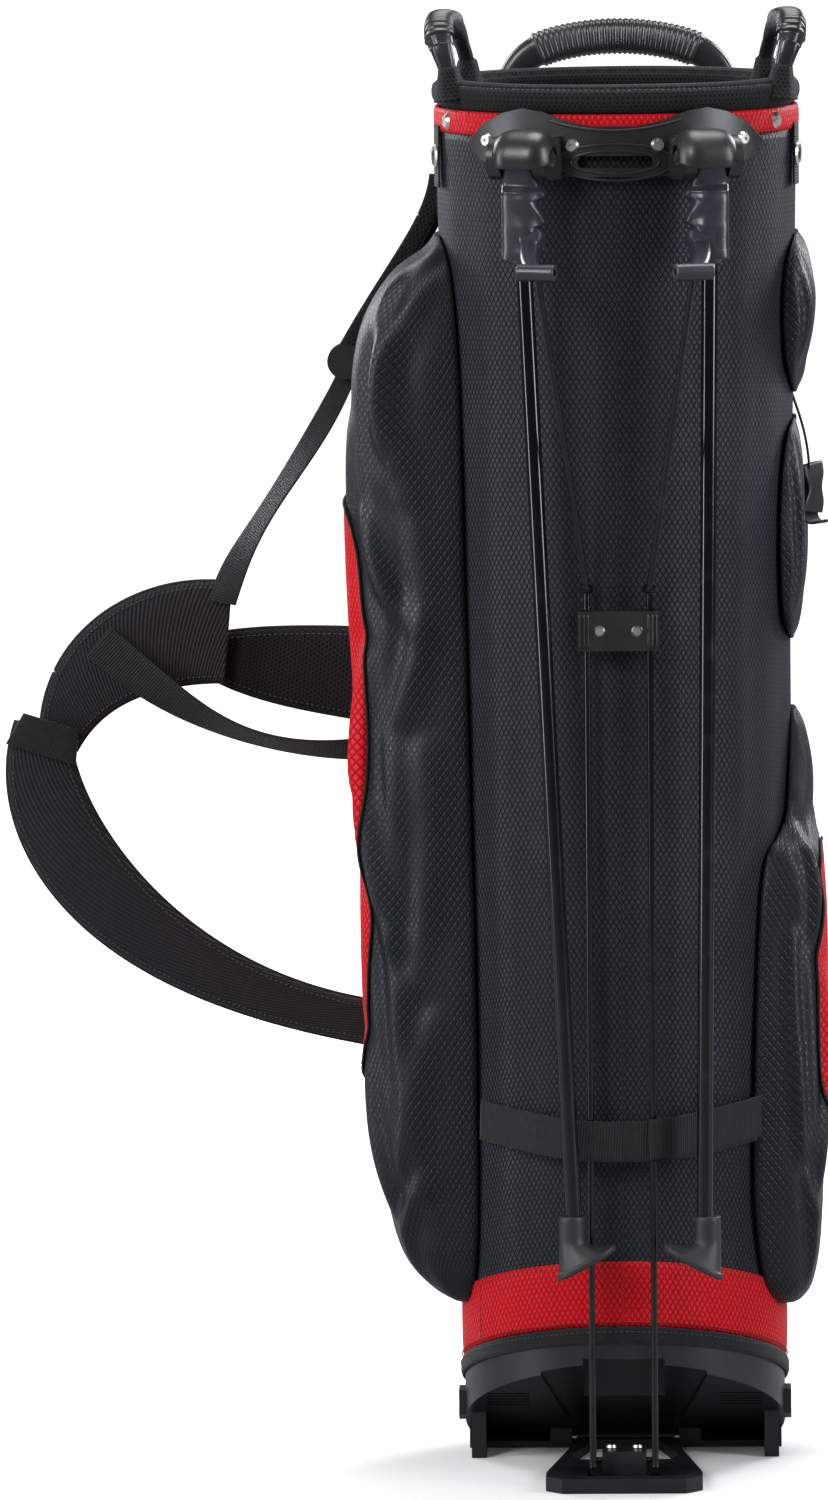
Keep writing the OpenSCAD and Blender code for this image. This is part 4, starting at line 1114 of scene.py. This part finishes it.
def on_hinge(points, mirror):
    """Points in the hinge's own axes (x along its pin, inward) to metres in the frame."""
    p = np.asarray(points, float)
    c, n = math.cos(SPLAY), math.sin(SPLAY)
    out = np.stack([HINGE[0] + p[..., 0] * c + p[..., 1] * n,
                    HINGE[1] - p[..., 0] * n + p[..., 1] * c, HINGE[2] + p[..., 2]], -1) * MM
    if mirror:
        out[..., 0] *= -1
    return out


# Rows are (height, outer edge, inner edge, front, back). The neck is relieved at the front so that
# it clears the hood as the leg swings out.
BRACKET_HEAD = [(9.6, -8.6, 8.6, -2, 2), (6, -10, 10, -8, 8), (0, -10.2, 10.2, -10, 10),
                (-7, -11.4, 9.4, -8.5, 9), (-13, -12.2, 9.8, -6.0, 8), (-16.5, -12.2, 11.0, -6.0, 7)]


def bracket_rule():
    """The bracket's rows from its head down: below the neck, the inner edge is cut in scallops."""
    z = np.linspace(-19.5, -60.5, 28)
    share = ((-z - 25.5) / 16.2) % 1
    tooth = np.minimum(share / 0.8, (1 - share) / 0.2) ** 1.3
    body = np.stack([z, np.full_like(z, -11.0), 10.5 + 5.0 * tooth, np.full_like(z, -11.0),
                     np.interp(z, (-60, -50), (5, 7))], 1)
    return np.concatenate([BRACKET_HEAD, body])


# Top and bottom of each leg tube's centre line, in millimetres.
LEG_TUBE_ENDS = {"left": ((-56.0, -127.0, 769.0), (-29.0, -131.0, 159.0)),
                 "right": ((57.0, -127.0, 769.0), (50.0, -131.0, 159.0))}


def leg_bracket(word, mirror):
    """Leg bracket: scalloped body, arm and bored boss for the wire, and the collar on the tube."""
    rule = spline(bracket_rule(), 150)
    t = np.linspace(0, TAU, 56, endpoint=False)
    c, v = squared(np.cos(t), 0.5), squared(np.sin(t), 0.5)
    z, xl, xr, yf, yb = rule.T
    x = (xl + xr)[None] / 2 + (xr - xl)[None] / 2 * c[:, None]
    y = (yf + yb)[None] / 2 + (yb - yf)[None] / 2 * v[:, None]
    inner = np.clip((x + 2) / 14, 0, 1)
    flame = np.cos((z[None] + 0.55 * x + 6) / 16.3 * TAU)
    front = np.clip(-v[:, None], 0, 1)
    body_share = np.clip((-z[None] - 12) / 6, 0, 1)
    y = y + front * inner * body_share * (5.0 * inner ** 1.5 - 1.5 * flame)
    points = on_hinge(np.stack([x, y, np.broadcast_to(z, x.shape)], 2), mirror)
    body = f"{word}_leg"
    grid_piece(f"{word}_bracket_body", points, "bracket", wrap_i=True, caps=True, body=body,
               replaces=(f"{word}_leg_bracket",), slot="bracket_plastic")
    arm = spline([(8, -2, -46), (9, -9, -54), (13, -22, -60), (19, -34, -64), (24, BOSS[1], BOSS[2])], 40)
    size = np.linspace(1.0, 0.62, 40)
    sweep(f"{word}_bracket_arm", on_hinge(arm, mirror), flat_section(14 * MM, 13 * MM, 3.5, 28),
          "bracket", side=on_hinge((1, 0, 0), mirror) - on_hinge((0, 0, 0), mirror),
          scale=np.stack([size, size], 1), body=body, slot="bracket_plastic")
    # Section of the boss: along its bore, and out from the bore's axis.
    loop = [(-12, 2.4), (-12, 4.6), (-11.4, 5.2), (11.4, 5.2), (12, 4.6), (12, 2.5), (11.2, 2.3),
            (-11.2, 2.3)]
    a = np.linspace(0, TAU, 40, endpoint=False)
    ring = np.array([[(BOSS[0] + h, BOSS[1] + r * math.cos(q), BOSS[2] + r * math.sin(q))
                      for h, r in loop] for q in a])
    boss = grid_piece(f"{word}_bracket_boss", on_hinge(ring, mirror), "bracket", wrap_i=True,
                      wrap_j=True, body=body, slot="bracket_plastic", smooth=False)
    bevel(boss, 0.5 * MM, 2)
    top, end = np.array(LEG_TUBE_ENDS[word])
    down = (end - top) / np.linalg.norm(end - top)
    along = np.array([-6, -5, 14, 17, 17.8])
    girth = np.array([6.4, 7.6, 7.6, 7.2, 5.6])
    path = (top + np.outer(along, down)) * MM
    sweep(f"{word}_bracket_collar", path, round_section(1 * MM, 32), "bracket",
          scale=np.stack([girth, girth], 1), body=body, slot="bracket_plastic")


def rubber_foot(word):
    """Rubber foot: a tight collar on the tube that flares into a tilted, rimmed sole reaching inward."""
    lo, hi = node_box(f"{word}_foot")
    tube_lo, _ = node_box(f"{word}_leg_tube")
    inward = 1 if word == "left" else -1
    collar_r, collar_h, rim_h, tilt = 8.0 * MM, 15 * MM, 4.5 * MM, math.tan(math.radians(28))
    outer_x = lo[0] if word == "left" else hi[0]
    neck = np.array([outer_x + inward * (collar_r + 2 * MM), tube_lo[1] + 5 * MM])
    sole = (lo[:2] + hi[:2]) / 2
    half = (hi[:2] - lo[:2]) / 2 * 0.9
    sole_z = lo[2] + half[0] * tilt + 1 * MM
    t = np.linspace(0, TAU, 40, endpoint=False)

    def outline(flare, z, grow):
        centre = neck * (1 - flare) + sole * flare
        rx, ry = (collar_r * (1 - flare) + half * flare) * grow
        x = rx * np.cos(t)
        return np.stack([centre[0] + x, centre[1] + ry * np.sin(t), z + x * inward * tilt * flare], 1)

    neck_z = hi[2] - collar_h
    rings = [outline(0, hi[2], 0.8), outline(0, hi[2], 0.97), outline(0, hi[2] - 1 * MM, 1.0),
             outline(0, neck_z + 1 * MM, 1.0)]
    for share in np.linspace(0.1, 1, 8):
        rings.append(outline(share ** 1.5, neck_z + (sole_z + rim_h - neck_z) * share, 1.0))
    rings += [outline(1, sole_z + rim_h - 0.2 * MM, 1.07), outline(1, sole_z + rim_h - 1 * MM, 1.08),
              outline(1, sole_z + 0.8 * MM, 1.08), outline(1, sole_z, 1.03), outline(1, sole_z, 0.7)]
    piece = grid_piece(f"{word}_foot_rubber", np.array(rings).transpose(1, 0, 2), "rubber", wrap_i=True,
                       caps=True, body=f"{word}_leg", replaces=(f"{word}_foot",), slot="foot_rubber")
    subdivide(piece)


def crown_mouldings():
    """Raised lines on the crown's face: two lens-shaped lines round the slot and one above them."""
    face = top_band_hi[0] + 5.6 * MM
    mid_z, half_w, top_z, top_rise = 812 * MM, 40 * MM, 831 * MM, 6 * MM
    line = round_section(0.9 * MM, 8)

    def on_face(x, z):
        return np.stack([x, -np.sqrt(face ** 2 - x ** 2), z], 1)

    a = np.linspace(0, TAU, 120, endpoint=False)
    for k, (reach, rise) in enumerate(((27, 7.0), (36, 11.0))):
        lens = on_face(reach * MM * np.cos(a), mid_z + rise * MM * np.sin(a))
        sweep(f"crown_slot_line_{k + 1}", lens, line, "crown", closed=True, slot="crown_plastic")
    x = np.linspace(-half_w, half_w, 80)
    crest = top_z + top_rise * (x / half_w) ** 2
    sweep("crown_top_line", on_face(x, crest), line, "crown", slot="crown_plastic")


crown_mouldings()


def hinge_hood(word, mirror):
    """Domed cover over a leg hinge, open below for the swing of the bracket."""
    radius, half_length, shift = 16.5, 18.5, 2.0
    front_edge, rear_edge = -20, 165      # degrees round the pin
    a = np.linspace(-1, 1, 60)[:, None]
    theta = np.radians(np.linspace(front_edge, rear_edge, 40))[None, :]
    r = radius * (1 - np.abs(a) ** 4.5 * 0.55)
    x = a * half_length + shift
    y = -r * np.cos(theta)
    z = r * np.sin(theta)
    points = on_hinge(np.stack([np.broadcast_to(x, y.shape), y, z], 2), mirror)
    piece = grid_piece(f"{word}_hinge_hood", points, "crown", slot="crown_plastic")
    solidify(piece, 2.2 * MM, 0.0)
    subdivide(piece)


def wire_tip(word, mirror):
    """Bent end of an upper wire, from the CAD wire's tip into the boss of the bracket."""
    boss = on_hinge(np.array([BOSS[0] - 6, BOSS[1], BOSS[2]]), mirror)
    pivot = WIRE_PIVOT * ([-1, 1, 1] if mirror else [1, 1, 1])
    aim = on_hinge(np.array(BOSS), mirror)
    way = (aim - pivot) / np.linalg.norm(aim - pivot)
    axis = boss - aim
    axis /= np.linalg.norm(axis)
    path = spline([aim - way * 16 * MM, aim - way * 8 * MM, aim - way * 2.0 * MM, aim + axis * 1.5 * MM,
                   aim + axis * 8 * MM], 40)
    sweep(f"{word}_wire_tip", path, round_section(2.0 * MM, 16), "wire", body=f"{word}_wire",
          slot="wire_steel")


for word, mirror in (("left", False), ("right", True)):
    leg_bracket(word, mirror)
    hinge_hood(word, mirror)
    rubber_foot(word)
    wire_tip(word, mirror)


# ---------------------------------------------------------------- zips

def zip_line(word, azimuth, z0, z1):
    """Coil zip on the tube's wall: two tapes and a double row of teeth."""
    tape_w, tape_shift, tooth_pitch, tooth_stagger = 14, 8.0, 1.5, 0.9
    a = math.radians(azimuth)
    z = np.linspace(z0, z1, 60) * MM
    out = np.array([math.sin(a), -math.cos(a), 0])
    along = np.array([math.cos(a), math.sin(a), 0])
    base = np.array([out * (tube_r(h) + 1.0 * MM) + [0, 0, h] for h in z])
    for k, shift in enumerate((-tape_shift, tape_shift)):
        sweep(f"{word}_zip_tape_{k + 1}", base + along * shift * MM,
              flat_section(tape_w * MM, 1.0 * MM, 6, 24), "binding", side=along,
              replaces=(f"{word}_zip",) if k == 0 else (), slot="pocket_fabric")
    verts, faces = [], []
    for k, h in enumerate(np.arange(z0 + 3, z1 - 3, tooth_pitch)):
        stagger = tooth_stagger if k % 2 else -tooth_stagger
        centre = out * (tube_r(h * MM) + 1.9 * MM) + [0, 0, h * MM] + along * stagger * MM
        start = len(verts)
        for dx, dy, dz in ((-1, 0, -1), (1, 0, -1), (1, 0, 1), (-1, 0, 1), (-1, 1, -1), (1, 1, -1),
                           (1, 1, 1), (-1, 1, 1)):
            verts.append(centre + along * dx * 1.5 * MM + out * dy * 1.0 * MM
                         + np.array([0, 0, dz * 0.48 * MM]))
        for f in ((0, 1, 2, 3), (4, 7, 6, 5), (0, 4, 5, 1), (1, 5, 6, 2), (2, 6, 7, 3), (3, 7, 4, 0)):
            faces.append(tuple(start + q for q in f))
    new_piece(f"{word}_zip_teeth", verts, faces, "small", smooth=False, slot="small_plastic")


def side_buckle():
    """Side-release buckle, turned on webbing that is sewn to the tube; its loose tail kicks outward."""
    lo, hi = node_box("side_buckle")
    count = 24
    mid_y = (lo[1] + hi[1]) / 2
    drop = np.linspace(0, 1, count)
    turned, sewn, kick = (0.6, 0.8, 0.0), (0.0, 1.0, 0.0), 11 * MM
    body = np.stack([lo[0] + 4.5 * MM + 1.4 * MM * np.sin(math.pi * drop), np.full(count, mid_y),
                     hi[2] - drop * (hi[2] - lo[2])], 1)
    waist = np.stack([1 - 0.3 * np.sin(math.pi * np.clip(drop * 1.5 - 0.25, 0, 1)) ** 2,
                      np.ones(count)], 1)
    sweep("side_buckle_body", body, flat_section(20 * MM, 6.5 * MM, 6, 32), "small", side=turned,
          scale=waist, replaces=("side_buckle",), slot="small_plastic")
    sewn_z = hi[2] + 44 * MM
    wall = math.sqrt(tube_r(sewn_z) ** 2 - mid_y ** 2)
    hanger = bezier([(lo[0] + 4 * MM, mid_y, hi[2] - 3 * MM), (lo[0] + 3 * MM, mid_y, hi[2] + 20 * MM),
                     (wall + 2 * MM, mid_y, hi[2] + 34 * MM), (wall - 1 * MM, mid_y, sewn_z)], count)
    kick_x, kick_y = 0.8 * kick, -0.6 * kick
    tail = bezier([(lo[0] + 4 * MM, mid_y, lo[2] + 4 * MM), (lo[0] + 4 * MM, mid_y, lo[2] - 10 * MM),
                   (lo[0] + 4 * MM + kick_x, mid_y + kick_y, lo[2] - 5 * MM)], count)
    for word, path, side in (("hanger", hanger, sewn), ("tail", tail, turned)):
        sweep(f"side_buckle_{word}", path, flat_section(15 * MM, 1.6 * MM, 6, 28), "webbing",
              side=side, slot="webbing")


def guide_ribs():
    """Three raised ribs at each end of the wire guide's face."""
    lo, hi = node_box("wire_guide")
    for k, inset in enumerate((1.4, 4.0, 6.6)):
        for word, x in (("left", lo[0] + inset * MM), ("right", hi[0] - inset * MM)):
            rib = np.array([[x, lo[1], z] for z in np.linspace(lo[2] + 1.5 * MM, hi[2] - 1.5 * MM, 12)])
            sweep(f"guide_rib_{word}_{k + 1}", rib, round_section(0.9 * MM), "crown",
                  slot="crown_plastic")


side_buckle()
guide_ribs()
# Azimuth in degrees, and the heights of both ends in millimetres.
for word, azimuth, low_end, high_end in (("left", -136, 250, 650), ("right", 132, 245, 440)):
    zip_line(word, azimuth, low_end, high_end)


# ---------------------------------------------------------------- finishes of the CAD nodes

FINISH = {
    "crown": ("leg_crown", "wire_guide"),
    "base": ("base_cup", "foot_plate", "wire_clamp"),
    "small": ("top_collar", "strap_anchor", "strap_button"),
    "stay": ("stays",),
    "nickel": ("band_rivets", "grommets", "crown_screws", "left_leg_pin", "right_leg_pin",
               "guide_rivets", "base_hinge_pin", "clamp_screws", "left_zip_slider",
               "right_zip_slider"),
    "leg": ("left_leg_tube", "right_leg_tube"),
    "wire": ("push_rod", "left_wire", "right_wire"),
}
EDGE_ROUND = {"crown": 1.0, "base": 0.8, "small": 0.5}


def dress_cad():
    """Gives the CAD nodes that stay visible their finish, and rounds the edges of moulded ones."""
    for key, names in FINISH.items():
        for name in names:
            obj = frame["nodes"][name]
            obj.data.materials.clear()
            obj.data.materials.append(M[key])
            if key in EDGE_ROUND:
                bevel(obj, EDGE_ROUND[key] * MM, 3)


dress_cad()


# ---------------------------------------------------------------- stage, light and camera

def stage():
    """Open pale floor that can be seen from all sides. It is bright for the camera and dim for
    reflections, and it glows softly far from the bag so that no horizon shows."""
    size, drop, glow_from, glow_to = 60.0, 0.2 * MM, 0.7, 2.2
    mesh = bpy.data.meshes.new("floor")
    mesh.from_pydata([(-size, -size, -drop), (size, -size, -drop), (size, size, -drop),
                      (-size, size, -drop)], [], [(0, 1, 2, 3)])
    floor = bpy.data.objects.new("floor", mesh)
    bpy.context.scene.collection.objects.link(floor)
    s = Shader("floor_paint")
    place = s.node("ShaderNodeNewGeometry", output=0)
    distance = s.node("ShaderNodeVectorMath", {0: place}, output=1, operation="LENGTH")
    away = s.step(distance, glow_from, glow_to)
    seen = s.node("ShaderNodeLightPath", output=0)
    tone = s.mix(s.noise(3.0, 3.0, vector=place), rgb(0.80, 0.80, 0.79), rgb(0.86, 0.86, 0.85))
    mesh.materials.append(s.finish(s.mix(seen, rgb(0.22, 0.225, 0.235), tone), 0.7,
                                   Emission_Color=rgb(1, 1, 1),
                                   Emission_Strength=s.calc("MULTIPLY", seen, away)))


def area_light(name, location, target, size, power, color=(1, 1, 1)):
    data = bpy.data.lights.new(name, "AREA")
    data.shape = "RECTANGLE"
    data.size, data.size_y = size
    data.energy = power
    data.color = color
    obj = bpy.data.objects.new(name, data)
    bpy.context.scene.collection.objects.link(obj)
    obj.location = location
    direction = Vector(target) - Vector(location)
    obj.rotation_euler = direction.to_track_quat("-Z", "Y").to_euler()


def lights():
    """World light that is dim except to the camera, and six soft area lights."""
    strength, extra_for_camera = 0.26, 1.2
    world = bpy.data.worlds.new("studio")
    bpy.context.scene.world = world
    world.use_nodes = True
    background = world.node_tree.nodes["Background"]
    background.inputs[0].default_value = rgb(0.94, 0.97, 1.0)
    path = world.node_tree.nodes.new("ShaderNodeLightPath")
    power = world.node_tree.nodes.new("ShaderNodeMath")
    power.operation = "MULTIPLY_ADD"
    power.inputs[1].default_value = extra_for_camera
    power.inputs[2].default_value = strength
    world.node_tree.links.new(path.outputs[0], power.inputs[0])
    world.node_tree.links.new(power.outputs[0], background.inputs[1])
    middle = (0, 0, 0.5)
    area_light("key", (-2.2, -3.0, 2.6), middle, (1.1, 1.6), 95, (1.0, 0.98, 0.95))
    area_light("strip_left", (-2.6, -0.9, 1.0), middle, (0.5, 2.2), 42, (0.90, 0.94, 1.0))
    area_light("fill", (2.9, -1.3, 1.4), middle, (0.8, 2.2), 75, (0.92, 0.95, 1.0))
    area_light("top", (0.2, 0.5, 3.2), middle, (1.6, 1.6), 65)
    area_light("rim", (1.9, 2.0, 1.8), middle, (1.0, 1.6), 70, (0.95, 0.97, 1.0))
    area_light("rim_left", (-2.0, 2.0, 1.6), middle, (1.0, 1.6), 55, (0.95, 0.97, 1.0))


def camera():
    """Long lens at chest height, looking slightly down on the bag with a little roll."""
    place = (0.0472, -6.5, 1.22)
    pan, tilt, roll = -0.0269, 0.1191, 0.0095      # radians
    lens, sensor_width, far = 254.2, 36.0, 60.0      # two in millimetres, far in metres
    data = bpy.data.cameras.new("camera")
    data.lens = lens
    data.sensor_width = sensor_width
    data.clip_end = far
    obj = bpy.data.objects.new("camera", data)
    bpy.context.scene.collection.objects.link(obj)
    turn = (Matrix.Rotation(-pan, 4, "Z") @ Matrix.Rotation(-tilt, 4, "X")
            @ Matrix.Rotation(roll, 4, "Y") @ Matrix.Rotation(math.pi / 2, 4, "X"))
    obj.matrix_world = Matrix.Translation(place) @ turn
    bpy.context.scene.camera = obj


stage()
lights()
camera()
bpy.context.scene.view_settings.view_transform = "Standard"
bpy.context.scene.view_settings.look = "None"

bpy.context.view_layer.update()
